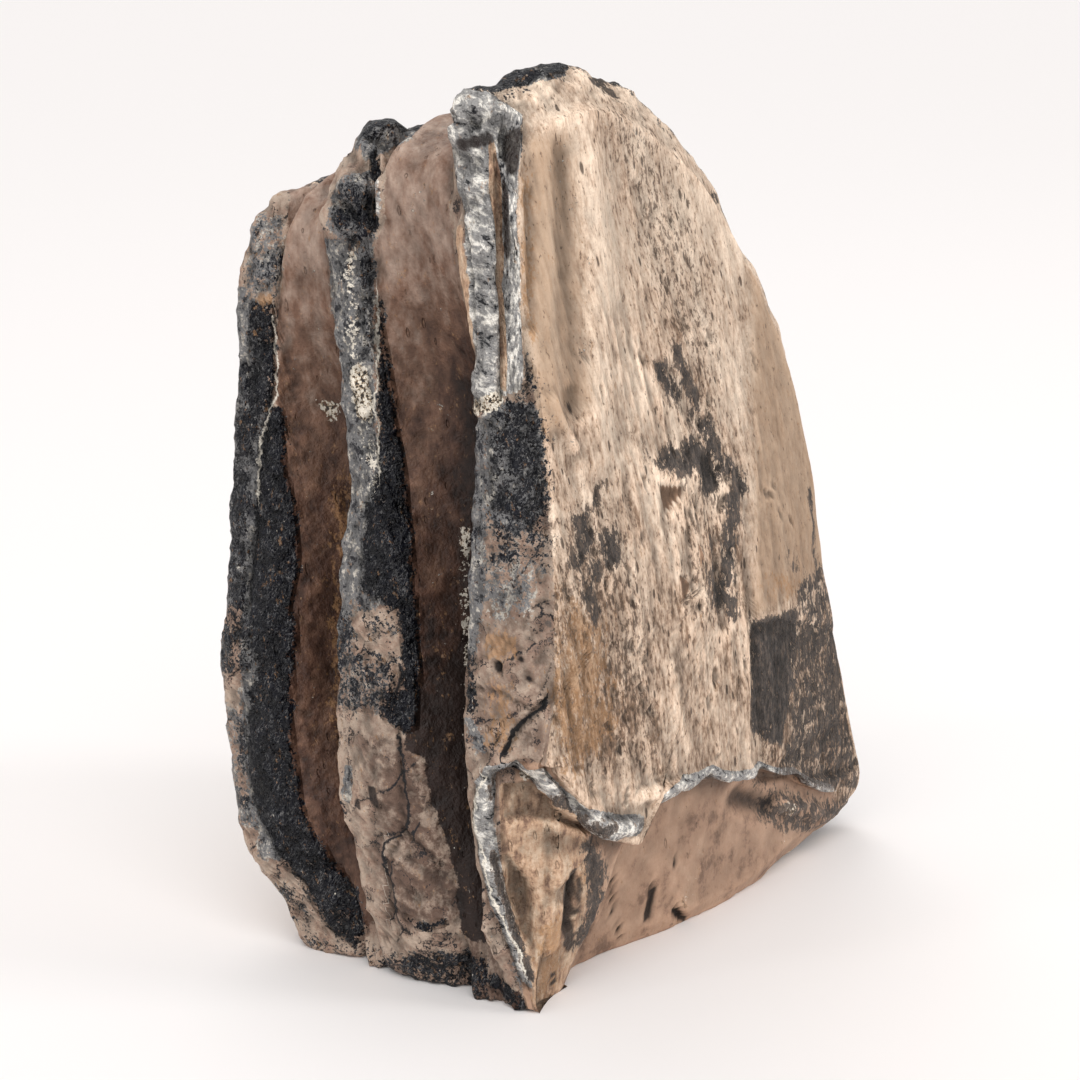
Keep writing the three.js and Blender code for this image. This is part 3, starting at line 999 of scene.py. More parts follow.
@dataclass(frozen=True)
class Studio:
    """A pale floor, soft light and the camera.

    Attributes:
        camera_place: Where the camera stands, metres.
        camera_target: What it looks at, metres.
        focal_length: For a sensor of sensor_width, both in mm.
        far_lights: Name, direction it comes from, strength and width in degrees of each.
        near_lights: Name, place and side in metres, and watts of each.
        light_target: What the near lights face, metres.
    """

    camera_place: Triple = (-0.27275, -0.18638, 0.12093)
    camera_target: Triple = (-0.00886, -0.00154, 0.0495)
    focal_length: float = 86.237
    sensor_width: float = 36.0
    floor_size: float = 60.0
    floor_colour: tuple[float, float, float, float] = (0.93, 0.90, 0.89, 1)
    sky_colour: tuple[float, float, float, float] = (1.0, 0.985, 0.975, 1)
    sky_strength: float = 0.50
    far_lights: tuple[tuple[str, Triple, float, float], ...] = (
        ("window_light", (-0.62, -0.42, 0.85), 1.6, 55.0),
        ("back_light", (0.30, 0.50, 1.0), 0.55, 35.0),
    )
    near_lights: tuple[tuple[str, Triple, float, float], ...] = (
        ("right_light", (0.35, -0.9, 0.5), 0.3, 2.6),
        ("left_light", (-0.65, 0.25, 0.55), 0.12, 0.4),
    )
    light_target: Triple = (0, 0, 0.05)

    def build(self) -> None:
        """Makes the floor, the lights, the sky and the camera."""
        self._floor()
        self._sky()
        for light in self.far_lights:
            self._far_light(*light)
        for light in self.near_lights:
            self._light(*light)
        self._camera()

    def _floor(self) -> None:
        """Makes the floor: a square of matte paper."""
        half = self.floor_size / 2
        mesh = bpy.data.meshes.new("floor")
        corners = [(-half, -half, 0), (half, -half, 0), (half, half, 0), (-half, half, 0)]
        mesh.from_pydata(corners, [], [(0, 1, 2, 3)])
        floor = bpy.data.objects.new("floor", mesh)
        bpy.context.collection.objects.link(floor)
        material = bpy.data.materials.new("floor_paper")
        material.use_nodes = True
        shader = material.node_tree.nodes["Principled BSDF"]
        shader.inputs["Base Color"].default_value = self.floor_colour
        shader.inputs["Roughness"].default_value = 0.9
        shader.inputs["Specular IOR Level"].default_value = 0.1
        mesh.materials.append(material)

    def _sky(self) -> None:
        """Makes the even light from all sides."""
        world = bpy.data.worlds.new("studio")
        world.use_nodes = True
        background = world.node_tree.nodes["Background"]
        background.inputs["Color"].default_value = self.sky_colour
        background.inputs["Strength"].default_value = self.sky_strength
        bpy.context.scene.world = world

    def _far_light(self, name: str, source: Triple, strength: float, angle: float) -> None:
        """A very wide far light, like a large window: it lights the floor evenly as far as it goes.

        Args:
            name: Its name.
            source: The direction that it comes from.
            strength: Its strength.
            angle: How wide it is, degrees.
        """
        lamp = bpy.data.lights.new(name, "SUN")
        lamp.energy = strength
        lamp.angle = math.radians(angle)
        light = bpy.data.objects.new(name, lamp)
        light.rotation_euler = self._facing(source, (0, 0, 0))
        bpy.context.collection.objects.link(light)

    def _light(self, name: str, place: Triple, size: float, power: float) -> None:
        """A square soft light that faces the middle of the piece.

        Args:
            name: Its name.
            place: Where it hangs, metres.
            size: Length of its side, metres.
            power: Watts.
        """
        lamp = bpy.data.lights.new(name, "AREA")
        lamp.size = size
        lamp.energy = power
        light = bpy.data.objects.new(name, lamp)
        light.location = place
        light.rotation_euler = self._facing(place, self.light_target)
        bpy.context.collection.objects.link(light)

    def _camera(self) -> None:
        """Makes the camera and its plain view of colours."""
        lens = bpy.data.cameras.new("camera")
        lens.lens = self.focal_length
        lens.sensor_width = self.sensor_width
        lens.clip_start = 0.01
        camera = bpy.data.objects.new("camera", lens)
        camera.location = self.camera_place
        camera.rotation_euler = self._facing(self.camera_place, self.camera_target)
        bpy.context.collection.objects.link(camera)
        bpy.context.scene.camera = camera
        bpy.context.scene.view_settings.view_transform = "Standard"

    @staticmethod
    def _facing(place: Triple, target: Triple) -> Triple:
        """Euler angles that point -Z from place to target with +Y up."""
        dx, dy, dz = (t - p for t, p in zip(target, place))
        return (math.atan2(math.hypot(dx, dy), -dz), 0.0, math.atan2(dy, dx) - math.pi / 2)


# ---- The relief --------------------------------------------------------------------------------------


@dataclass(frozen=True)
class Mark:
    """One form placed on the near side.

    Attributes:
        path: Its line, or its outline where it is an area, as places across and up in mm.
        height: How far it stands out, mm; negative where it is cut in.
        width: Half width of a line, mm. None where the path is the outline of an area.
        soft: Length over which its side rises, mm.
        stations: Rows that it lies on, as the least and the greatest station.
    """

    path: str
    height: float
    width: float | None = None
    soft: float = 0.8
    stations: Stations = (-1.0, 0.3)

    def rise(self, near: NearSide) -> Array:
        """Its height at every point of the skin: full along its line or inside its outline."""
        return self.height * near.shape(self.path, self.width, self.soft) * near.within(*self.stations)


@dataclass(frozen=True)
class Relief:
    """Everything that stands out from the skin or is cut into it, mm."""

    slow_height: float = 0.45
    ridge_height: float = 0.85
    ring_height: float = 0.16
    wrinkle_height: float = 0.40
    groove_height: float = 0.7
    face_height: float = 0.34
    recess_height: float = 0.3
    striation_height: float = 0.19
    pit_depth: float = 0.36
    crown_bump: float = 0.35
    lip_height: float = 0.3
    face_lean: Triple = (0.23, 0.0, 0.0)  # mm sideways for each mm up, of the upright forms on the faces
    ridge_lean: Triple = (0.0, 0.35, 0.0)  # and of the wrinkles on the ridges
    front_ridge: tuple[Mark, ...] = (
        Mark("-9.6 104.8, -8.6 106.4, -6.8 106.8", 1.0, 1.3, 1.4),  # the rolled knob
        Mark("-9.4 105, -7 104.5", -1.3, 0.4, 0.6),  # the fold under it
        Mark("-9.2 102.8, -7.6 102.2", 0.9, 0.9, 1.2),  # its lower lobe
        Mark("-4.8 106.2, -3 105.2, -2.8 102.6, -3.2 100.2", 1.0, 0.5, 0.8),  # the curled lip
        Mark("-4.1 103.6, -4.2 101", -1.3, 0.4, 0.7),  # the hollow that it curls round
        Mark("-5.2 101, -4.9 96, -4.6 89.5, -4.4 81.8, -4.8 74.5", -0.9, 0.35, 0.6),
        Mark("-7.2 98, -6.9 90, -6.4 81.7, -6.6 76", 0.75, 1.1, 1.2),
        Mark("-3.6 97, -3.1 90.5, -2.7 81.7, -2.5 76.5", 0.75, 0.6, 0.9),
        Mark("-1.6 97, -1.4 90, -1.2 82", -0.45, 0.4, 0.7),
        Mark("-8.9 93, -8.6 86, -8 77", 0.7, 0.5, 0.7),  # the strip of cementum beside it
        Mark("-7.9 92, -7.7 86, -7.3 77.5", -0.6, 0.25, 0.5),
        Mark("-7.9 72.4, -7.6 75.4, -4.9 75, -5.2 73, -6.2 71.8", 0.7, None, 0.7),  # the chip
        Mark("-5.2 43.4", -1.4, 0.5, 0.7),
        Mark("-2.4 44.5", -0.5, 0.4, 0.5),
        Mark("-1.3 42.1", -0.5, 0.4, 0.5),
        Mark("-8.4 40, -6.6 40.8, -4.3 40.1, -2.1 39.1, -0.9 38.3", -0.5, 0.25, 0.6),
        Mark("0.6 39.5, -0.9 37.9, -2.4 36.5, -3.8 34.3, -4.6 32.8", -0.8, 0.35, 0.7),
    )
    other_ridges: tuple[Mark, ...] = (
        Mark("-20.9 100.4, -20 101.8, -18.2 102.4", 1.3, 1.0, 1.4, RIDGE_2_TOP),  # the rolled knob
        Mark("-20.4 100.9, -18.6 101", -0.9, 0.3, 0.5, RIDGE_2_TOP),
        Mark("-19.2 99.4, -18.7 96.7, -18.9 93.7", 0.7, 0.4, 0.6, (0.55, 1.2)),
        Mark("-22.6 96.6, -21.2 96.4", 0.9, 1.2, 1.6, RIDGE_2),
        Mark("-24.6 93, -23.6 92", 0.8, 1.2, 1.4, RIDGE_2),
        Mark("-23.2 94.6, -21.6 93.2", -0.8, 0.6, 0.9, RIDGE_2),
        Mark("-21.6 90, -21.2 80, -20.8 66", -0.35, 0.9, 1.2, RIDGE_2),
        Mark("-21.5 74.6, -21 71.2", 0.8, 0.8, 1.0, RIDGE_2),
        Mark("-17.4 34.8, -17.2 25.8, -17 20.1, -19 16, -18.7 8.3", -0.5, 0.25, 0.6, RIDGE_2),
        Mark("-17 20.1, -14.6 18.3, -12.2 16.2", -0.45, 0.2, 0.5, RIDGE_2),
        Mark("-18 16, -14 13, -12.3 9.3", 0.4, 1.2, 1.4, RIDGE_2),
        Mark("-33 72, -34.4 66, -35.6 56, -37.2 44", -0.4, 0.5, 0.9, (1.6, 2.4)),
        Mark("-34.5 92, -33.4 86", 0.7, 1.2, 1.4, (1.6, 2.4)),
        Mark("-36 13, -32 8", 0.5, 1.6, 2.0, (1.6, 2.4)),
    )
    window: tuple[Mark, ...] = (
        Mark("-7 29.7, -5.9 31.1, -4.4 31.5, -2.7 31.2, -0.8 30.3", 0.6, 0.9, 0.8),  # the enamel arch
        Mark("-6.9 28.5, -7.1 24, -6.4 19.5, -5.2 13.9, -3.6 9.9, -1.6 5.2", 0.45, 0.8, 0.8),
        Mark("0.2 28.6, 2 26.3, 3.8 24, 6.2 22, 10.6 20", 0.9, 0.9, 0.9),  # the frayed arm
        Mark("1.6 24.8, 3.6 22.4, 5.6 21", -0.8, 0.4, 0.6),
        Mark("-4.4 28.4, -1 28.4, -1.2 24.4, -4.4 24", -0.5, None, 0.6),  # the dentine's upper step
        Mark("-4.6 24, -1 23.8, 2.6 23, 5.8 20.6, 5.4 18.2, 3.8 16.4, 2 15.2, 0.4 14, -0.7 12, -0.9 15, "
             "-2.4 17.6, -4.2 20", 0.55, None, 0.5),
        Mark("2.2 20.6", -0.9, 1.8, 3.0),  # the scoop in it
        Mark("-4 19, -2.2 17, -1.2 13, -1.2 8, -2.6 10, -4 15", -0.9, None, 0.8),
        Mark("3.6 15.6, 3.3 12.4, 3.1 9.2", -1.2, 0.4, 0.6),  # the cavity
        Mark("1.4 12.2, 0.9 7.4", 0.5, 0.9, 0.9),
    )  # fmt: skip
    recess: tuple[Mark, ...] = (
        Mark("8.7 10.4, 8.9 8, 9 5.8", -0.5, 0.15, 0.5),
        Mark("14.3 7.2, 14.15 5.2, 13.8 3.2", -0.8, 0.3, 0.5),
        Mark("17.1 10.4, 17.5 8.1", -0.4, 0.12, 0.4),
        Mark("9.7 3.8, 10.1 1.4", -0.4, 0.15, 0.4),
        Mark("17.6 2.6, 18.4 0.8", -1.2, 0.6, 0.6),
        Mark("26.2 14.4, 28.4 12.6, 31 10.6", -1.3, 1.0, 3.0),  # the pocket under the edge
        Mark("32.2 10.6, 34.4 8.8", 0.8, 0.8, 1.2),
        Mark("36.4 8.4, 38.4 6.2", 0.6, 0.9, 1.4),
        Mark("12.6 23.4, 16.6 22.6, 20.4 20.6", 0.7, 0.9, 1.0),  # the curl of thin shell under the edge
    )
    face: tuple[Mark, ...] = (
        Mark("-0.4 101.5, 0.2 90.3, 0.4 81.5, 0.9 71.5", 0.6, 0.9, 2.4),  # the lit rib
        Mark("2.4 101, 3 90, 3.4 81.1, 3.8 73", -0.6, 0.8, 3.6),  # the channel beside it
        Mark("3.6 74.4, 4.2 71.4", -0.5, 0.4, 1.2),
        Mark("0.6 74, 1.9 71.3, 3.6 67.8", 0.6, 0.5, 0.9),
        Mark("5.8 100, 6.6 84, 6 66", 0.4, 1.6, 3.0),
        Mark("14.6 60.8, 17.6 59.6, 15.3 57.5", -0.7, None, 1.6),
        Mark("17.2 49, 18.5 47.6, 17.8 45.4", -0.5, None, 1.4),
        Mark("26.4 88, 40 78, 46 20, 31 18, 27.4 39, 26.5 53", 0.4, None, 1.6),
        Mark("27.3 39.7, 33.7 37.2, 41.8 32.5, 45.5 10, 29.5 15, 27.6 21", -0.5, None, 0.6),
        Mark("20.6 62, 22.6 50, 23.2 41", -0.4, 0.9, 1.4),
        Mark("15.5 74, 18.6 68, 21.5 61", -0.35, 0.8, 1.4),
        Mark("11.6 96, 14 88, 17 80", -0.35, 1.0, 2.0),
    )

    crumbled: tuple[tuple[str, float, float], ...] = (
        ("5.8 17.4, 6.4 12.2, 5.8 6.8", 1.4, 1.6),
        ("33 10, 38 6.4, 43 4.4", 1.8, 1.8),
    )  # crumbly ground in the break: path, half width and softness
    pitted: tuple[tuple[str, float | None, float], ...] = (
        ("10.1 104.6, 13.2 96.4, 16.4 86.7, 18.3 79.3, 19 66, 21 45", 3.2, 4.0),
        ("2 58, 8 60, 13.5 40, 12 26, 1 33", None, 10.0),
    )  # where the pits of the front face crowd
    least_crowd: float = 0.10  # share of the cells that have a pit
    more_crowd: float = 0.5  # and how many more where they crowd

    def heights(self, skin: Skin, near: NearSide, noise: Roughness) -> Array:
        """Adds up all relief.

        Args:
            skin: The skin before any relief.
            near: Its places on the near side.
            noise: The random swells.

        Returns:
            Height along the normal at each point, mm.
        """
        points = skin.points
        leaning = sheared(points, self.face_lean)
        x, _, z = np.moveaxis(points, -1, 0)
        off_crest = np.abs(skin.station - np.round(np.clip(skin.station, 0, 2)))
        ridge = fall(off_crest, 0.2, 0.34) * (1 - skin.broken)
        ridge = ridge * mix(1.0, 0.4, rise(x, -4, 12))
        face = fall(skin.station, -0.35, -0.2) + rise(skin.station, 2.3, 2.45)
        groove = (1 - ridge) * (1 - face) * (1 - skin.broken)
        recess = skin.broken * rise(x, -16, -9)

        rings = noise.creases(points, (9.0, 9.0, 2.4), 2)
        wrinkles = noise.creases(sheared(points, self.ridge_lean), (2.2, 2.2, 4.5), 2)
        face_lumps = noise.rough(leaning, (3.4, 3.4, 6.5), 4, 0.62)
        striation = noise.swell(leaning, (1.5, 1.5, 12.0))
        near_top = rise(z, 90, 101) * hill(skin.station, np.round(skin.station), 0.2)
        bumps, _, chance = noise.cells(points, 3.2)
        crumbled = near.most(self.crumbled) * skin.broken
        lip = rise(skin.station, -0.535, -0.505) * fall(skin.station, -0.5, -0.47)
        heights = [
            self.slow_height * noise.rough(points, 15.0, 3),
            self.ridge_height * ridge * noise.rough(points, (6.0, 6.0, 5.0), 4, 0.55),
            self.ring_height * ridge * (rings - 0.3),
            self.wrinkle_height * ridge * (wrinkles - 0.35),
            self.groove_height * groove * noise.rough(points, (4.0, 4.0, 7.0), 4, 0.55),
            self.face_height * face * (1 - recess) * face_lumps,
            self.recess_height * recess * noise.rough(points, 6.0, 3, 0.5),
            self.striation_height * face * (1 - skin.broken) * striation,
            -self.pit_depth * self._pits(skin, near, noise) * (1 - skin.broken),
            self.crown_bump * near_top * fall(bumps, 0.15, 0.7) * rise(chance, 0.2, 0.5),
            crumbled * (0.2 + 0.8 * noise.rough(points, (2.6, 2.6, 2.6), 3, 0.6)),
            self.lip_height * lip * skin.broken.max(axis=1, keepdims=True),
        ]
        for marks in (self.front_ridge, self.other_ridges, self.window, self.recess, self.face):
            heights += [mark.rise(near) for mark in marks]
        return sum(heights)

    def _pits(self, skin: Skin, near: NearSide, noise: Roughness) -> Array:
        """Long pores of the face cementum: the middles of tall cells, in bands where they crowd.

        Args:
            skin: The skin before any relief.
            near: Its places on the near side.
            noise: The random swells.

        Returns:
            1 in a pit, 0 beside it.
        """
        wandering = sheared(skin.points, self.face_lean) + 2.0 * noise.swell(skin.points, 6.0)[..., None]
        distance, _, chance = noise.cells(wandering, (1.9, 1.9, 3.6))
        crowd = self.least_crowd + self.more_crowd * near.most(self.pitted)
        face = fall(skin.station, -0.4, -0.3) + rise(skin.station, 2.3, 2.45)
        return face * fall(distance, 0.15, 0.45) * rise(crowd - chance, 0.0, 0.1)


# ---- The tissues -------------------------------------------------------------------------------------


@dataclass(frozen=True)
class Area:
    """An area of a tissue on the near side.

    Attributes:
        path: Its outline, or its line where width is given, as places across and up in mm.
        width: Half width of the line, mm.
        soft: Length over which the tissue fades, mm. Noise makes the edge ragged within it.
        stations: Rows that it lies on.
        share: How much of the tissue there is inside.
    """

    path: str
    width: float | None = None
    soft: float = 5.0
    stations: Stations = (-1.0, 3.0)
    share: float = 1.0

    def mask(self, near: NearSide) -> Array:
        """Its share at every point of the skin."""
        return self.share * near.shape(self.path, self.width, self.soft) * near.within(*self.stations)


def covered(near: NearSide, areas: tuple[Area, ...]) -> Array:
    """The greatest share that any of the areas has at each point.

    Args:
        near: Its places on the near side.
        areas: The areas.

    Returns:
        The share, 0 to 1 and a little more.
    """
    total = np.zeros(near.across.shape)
    for area in areas:
        total = np.maximum(total, area.mask(near))
    return total


@dataclass(frozen=True)
class Tissues:
    """Where each tissue shows, and where shade is painted. Every mask is kept at the vertices, 0 to 1."""

    ridge_cementum: tuple[Area, ...] = (
        Area("-31 99, -30.8 91, -31.2 87, -31.9 82, -32.8 78, -32.7 72, -32.4 67, -33 63, -31.7 60, "
             "-31.2 57, -31.3 51, -32 44, -31.8 41, -32.5 37, -32.5 27, -31.2 19, -29.6 16, -27.2 12, "
             "-23 2, -45 -4, -45 99", None, 1.2, RIDGE_1),
        Area("-17.6 104, -18.2 97, -18.2 93.5, -19.2 91, -20.2 88, -19.9 84.4, -19.2 77.6, -18.4 71, "
             "-17.6 67, -17.1 62, -16.4 58, -16.5 51, -15.8 47, -15.7 36.3, -16.6 32.5, -17 29, -16.6 25, "
             "-17.1 19.5, -18 14, -18.3 9.4, -15.6 8.6, -11 8.2, -6 5, -26 -4, -30 60, -28 104",
             None, 1.2, RIDGE_2),
        Area("-2.7 104, -2.6 80, -1.8 79, -0.6 74, 0.6 66, 1.2 59, 1.6 50, 1.4 38, 0.2 30, -2.5 3, -14 -4, "
             "-14 108", None, 1.4, RIDGE_3),
        Area("-17.2 31, -14.4 29, -13.6 24, -11.8 19, -10.4 14, -10 8, -18 8, -18 20",
             None, 3.0, (0.42, 1.36)),
        Area("-24 5, -14 7.4, -6 7, -2 -4, -38 -4, -31 5", None, 2.0),
    )  # fmt: skip
    grey_enamel: tuple[Area, ...] = (
        Area("-38 84, -33.8 82, -33.2 72, -33.8 62, -34.4 50, -34.6 40, -35 30, -34 18, -31.5 12, -36 12, "
             "-38.6 24, -38.2 40", None, 2.0, RIDGE_1),
        Area("-22 66, -18.6 66, -17.6 56, -17.6 48, -22.4 47, -23.4 54", None, 2.0, RIDGE_2),
        Area("-6.4 74, -0.6 74, 0.4 68, 0.4 61, -2.4 59, -6.6 61", None, 1.6, RIDGE_3),
        Area("-45 86, -36.2 84, -36 78, -36.8 73.6, -36.3 67.8, -35.6 60.5, -36.3 53, -36.9 45, -45 42",
             None, 1.6, RIDGE_1),
        Area("-45 43, -36.7 43, -36.4 37, -45 37", None, 2.0, RIDGE_1, 0.6),
        Area("-45 31, -37.6 31, -37.6 22, -36 15, -45 14", None, 2.4, RIDGE_1, 0.56),
        Area("-36.4 93, -31.2 93, -31.2 87, -32.2 83, -36 83", None, 2.4, RIDGE_1, 0.56),
        Area("-28 91, -19.8 91, -19.7 83, -19.6 67, -21.3 60, -22 51, -22.8 48, -25.6 40, -28 40",
             None, 1.6, RIDGE_2),
        Area("-28 48, -22.8 47, -22.4 42, -18.4 41, -17.4 36.5, -19.8 34, -24 34, -28 33",
             None, 2.0, RIDGE_2, 0.62),
        Area("-23.9 26.8, -24.1 23.2", 0.5, 0.9, RIDGE_2),
        Area("-24.8 95.4, -22.6 98, -20 98.4, -19.5 93, -19.4 90, -22.6 90, -24.6 91.6",
             None, 1.6, RIDGE_2, 0.8),
        Area("-7.8 107.6, -1.5 108.4, 2.8 109.4, 3 113, -9 113", None, 0.7, (-0.6, 0.6)),
        Area("-22 100, -20.6 104, -15 105, -15 102.4, -18 100.6, -20 100", None, 0.8, RIDGE_2_TOP),
        Area("-20.4 103, -21.8 101, -21 99.2, -18.8 100, -19.4 101.4", None, 0.8, RIDGE_2_TOP),
        Area("-12 73, -6 72, -6.2 62, -6.4 52, -7.6 44, -12 40", None, 2.0, RIDGE_3, 0.9),
        Area("-8.2 36, -7 33.6", 0.9, 1.6, RIDGE_3, 0.9),
        Area("-6.8 62, 0.6 60, 0.8 54, -1.6 49, -6.4 48", None, 3.0, RIDGE_3, 0.56),
        Area("-3 6, -1.6 2.6", 1.0, 1.6, share=0.8),
    )
    black_enamel: tuple[Area, ...] = (
        Area("-33.7 69.8, -34.5 68, -35.3 64, -35.5 59, -36.1 54, -36.7 48, -36.5 40, -35.9 36, "
             "-37.3 33.5, -37.7 26.5, -37.4 21, -36.3 18, -34.6 14.6, -32.6 10.8, -30 9.6, -27.8 10.2, "
             "-26.6 12.2, -28.9 16, -30.4 20, -31.7 27, -31.5 37, -31 41, -31.3 44, -30.5 51, -30.4 57, "
             "-31 60, -32 63, -31.6 67, -32 69.6", None, 2.2, RIDGE_1),
        Area("-45 76, -36 75, -35.6 66, -36.2 56, -36.8 47, -36.4 36, -45 34", None, 2.4, RIDGE_1, 0.64),
        Area("-31 12.6, -26.4 12.4, -23.7 9.5, -21.9 4.5, -23.9 1.7, -27.2 3.4, -30 7.4",
             None, 2.4, (1.5, 2.5), 0.85),
        Area("-35.5 82.4, -32.6 82.4, -32.6 71.6, -34 69.8, -35.3 65.4, -36.6 65.2, -36.6 72.5, -36 78.7",
             None, 1.8, RIDGE_1, 0.72),
        Area("-34.6 93, -31.2 94, -31 87, -32.1 83, -35.2 83, -36 89", None, 2.4, RIDGE_1, 0.26),
        Area("-40 42, -36.5 43, -36.5 37, -40 37", None, 2.4, RIDGE_1, 0.5),
        Area("-40 30, -37.5 31, -37.3 18, -40 17", None, 2.4, RIDGE_1, 0.46),
        Area("-35 9, -31 9, -29 4, -33 3", None, 2.4, RIDGE_1, 0.45),
        Area("-19.6 84, -18.9 83.5, -18.4 77.6, -17.5 71, -16.7 67, -16.3 62.7, -15.5 58, -15.6 50, "
             "-14.9 47, -14.9 36.4, -16 33, -17.4 33.4, -17.1 37.7, -16.9 42.6, -17.3 47, -19 48, "
             "-21.8 49.6, -21.5 55.6, -21 60, -19.6 64, -19.3 72", None, 2.0, RIDGE_2),
        Area("-19.7 37.6, -16.9 37.8, -14.9 36.3, -15.6 32.4, -17.4 32.8, -19.6 34.2",
             None, 1.6, RIDGE_2, 0.85),
        Area("-28 47, -23 47, -22.6 43.4, -19.8 42.2, -17.4 43, -17.2 36.5, -19.8 34.2, -26 33.6",
             None, 2.0, RIDGE_2, 0.5),
        Area("-22.4 47, -17.4 47.8, -17.5 44, -22 43", None, 1.6, RIDGE_2, 0.36),
        Area("-24.8 95, -22.9 97.2, -20.6 98, -19.8 93.3, -19.4 90.4, -22.6 90.4, -24.2 92.2",
             None, 1.6, RIDGE_2, 0.55),
        Area("-21.6 90, -19.5 90, -19.5 76, -21.4 77", None, 1.6, RIDGE_2, 0.5),
        Area("-20 99.8, -19.5 96.7, -19.5 92.6", 0.4, 0.6, (0.55, 1.2), 0.9),
        Area("-21.6 100.4, -20.6 103.4, -15 104.8, -15 103, -18.2 101.8, -19.8 101",
             None, 0.8, RIDGE_2_TOP, 0.62),
        Area("-19.7 2.5, -14.5 5.4, -6.7 5.6, -6 -4, -23 -4", None, 2.0, share=0.66),
        Area("-16.4 8.8, -13.6 8.4, -12 9.4", 0.5, 1.0, share=0.8),
        Area("-6.4 71.5, -5.4 72.8, -4.4 74.1, -2.4 74.6, -2.5 78.5, -1.5 79.5, -0.4 76.5, -0.1 74, "
             "0.6 69.5, 1.2 65, 1.4 60, 0.2 58, -2 59.6, -4.2 61.4, -6.2 61.6", None, 2.4, RIDGE_3, 0.6),
        Area("-6.4 62, 0.6 60, 1 54.6, -2.4 55, -6.2 54", None, 3.0, RIDGE_3, 0.5),
        Area("-8.6 70, -6.2 71, -6.2 54, -8.6 52", None, 2.4, RIDGE_3, 0.4),
        Area("-7.8 107.9, -4.6 107.9, -1.5 108.6, -0.2 109.2, 2.6 109.7, 3 113, -9 113",
             None, 0.7, (-0.6, 0.6), 0.68),
        Area("-4.6 105.4, -3.2 104.8, -2.9 102.9, -3.1 101", 0.5, 0.8, RIDGE_3, 0.8),
        Area("-8.2 44, -8.4 38", 0.8, 1.6, RIDGE_3, 0.6),
        Area("-5.6 2.6, -3.4 1.2, -1 0.8", 1.1, 1.8, share=0.85),
    )  # fmt: skip
    broken_enamel: tuple[Area, ...] = (
        Area("-11 107.7, -5 107.6, -2.9 106, -2.7 101, -2.7 90, -2.5 82, -2.4 75.2, -4.6 74.6, -7.8 72.4, "
             "-7.6 78, -8 84, -8.4 94, -9.6 99", None, 0.8, RIDGE_3),
        Area("-6.9 29, -5.9 30.8, -4.4 31.4, -2.7 31, -0.4 29.6", 0.9, 0.8, BREAK),
        Area("-6.6 28.5, -6.9 24, -6.2 19.5, -5.1 13.9, -3.5 9.9, -1.4 4.6", 1.15, 0.8, BREAK),
        Area("-0.6 29.9, 1.4 27.2, 3.4 25, 6 22.9, 8.6 21.2, 11.4 19.9", 1.3, 1.4, BREAK),
        Area("-18.9 98, -18.7 96, -18.8 93.7", 0.4, 0.5, (0.55, 1.2), 0.6),
    )
    dentine: tuple[Area, ...] = (
        Area("-5.6 98, -5.1 95, -4.6 91, -4.4 84, -4.3 75.5", 0.36, 0.6, RIDGE_3),
        Area("-6 102.6, -5.2 102.8, -4.5 98.5, -4.4 93, -5 92, -5.9 97", None, 0.6, RIDGE_3),
        Area("-5.2 28.6, 0.2 28, 4.6 22.4, 5.6 16, 4.4 4, 3 -2, -0.9 -2, -1.2 4.2, -3 10, -4.8 18",
             None, 1.0, BREAK),
        Area("-8.9 93, -8.6 88, -8.4 84, -7.9 78", 0.45, 0.6, (0.02, 0.34)),
    )
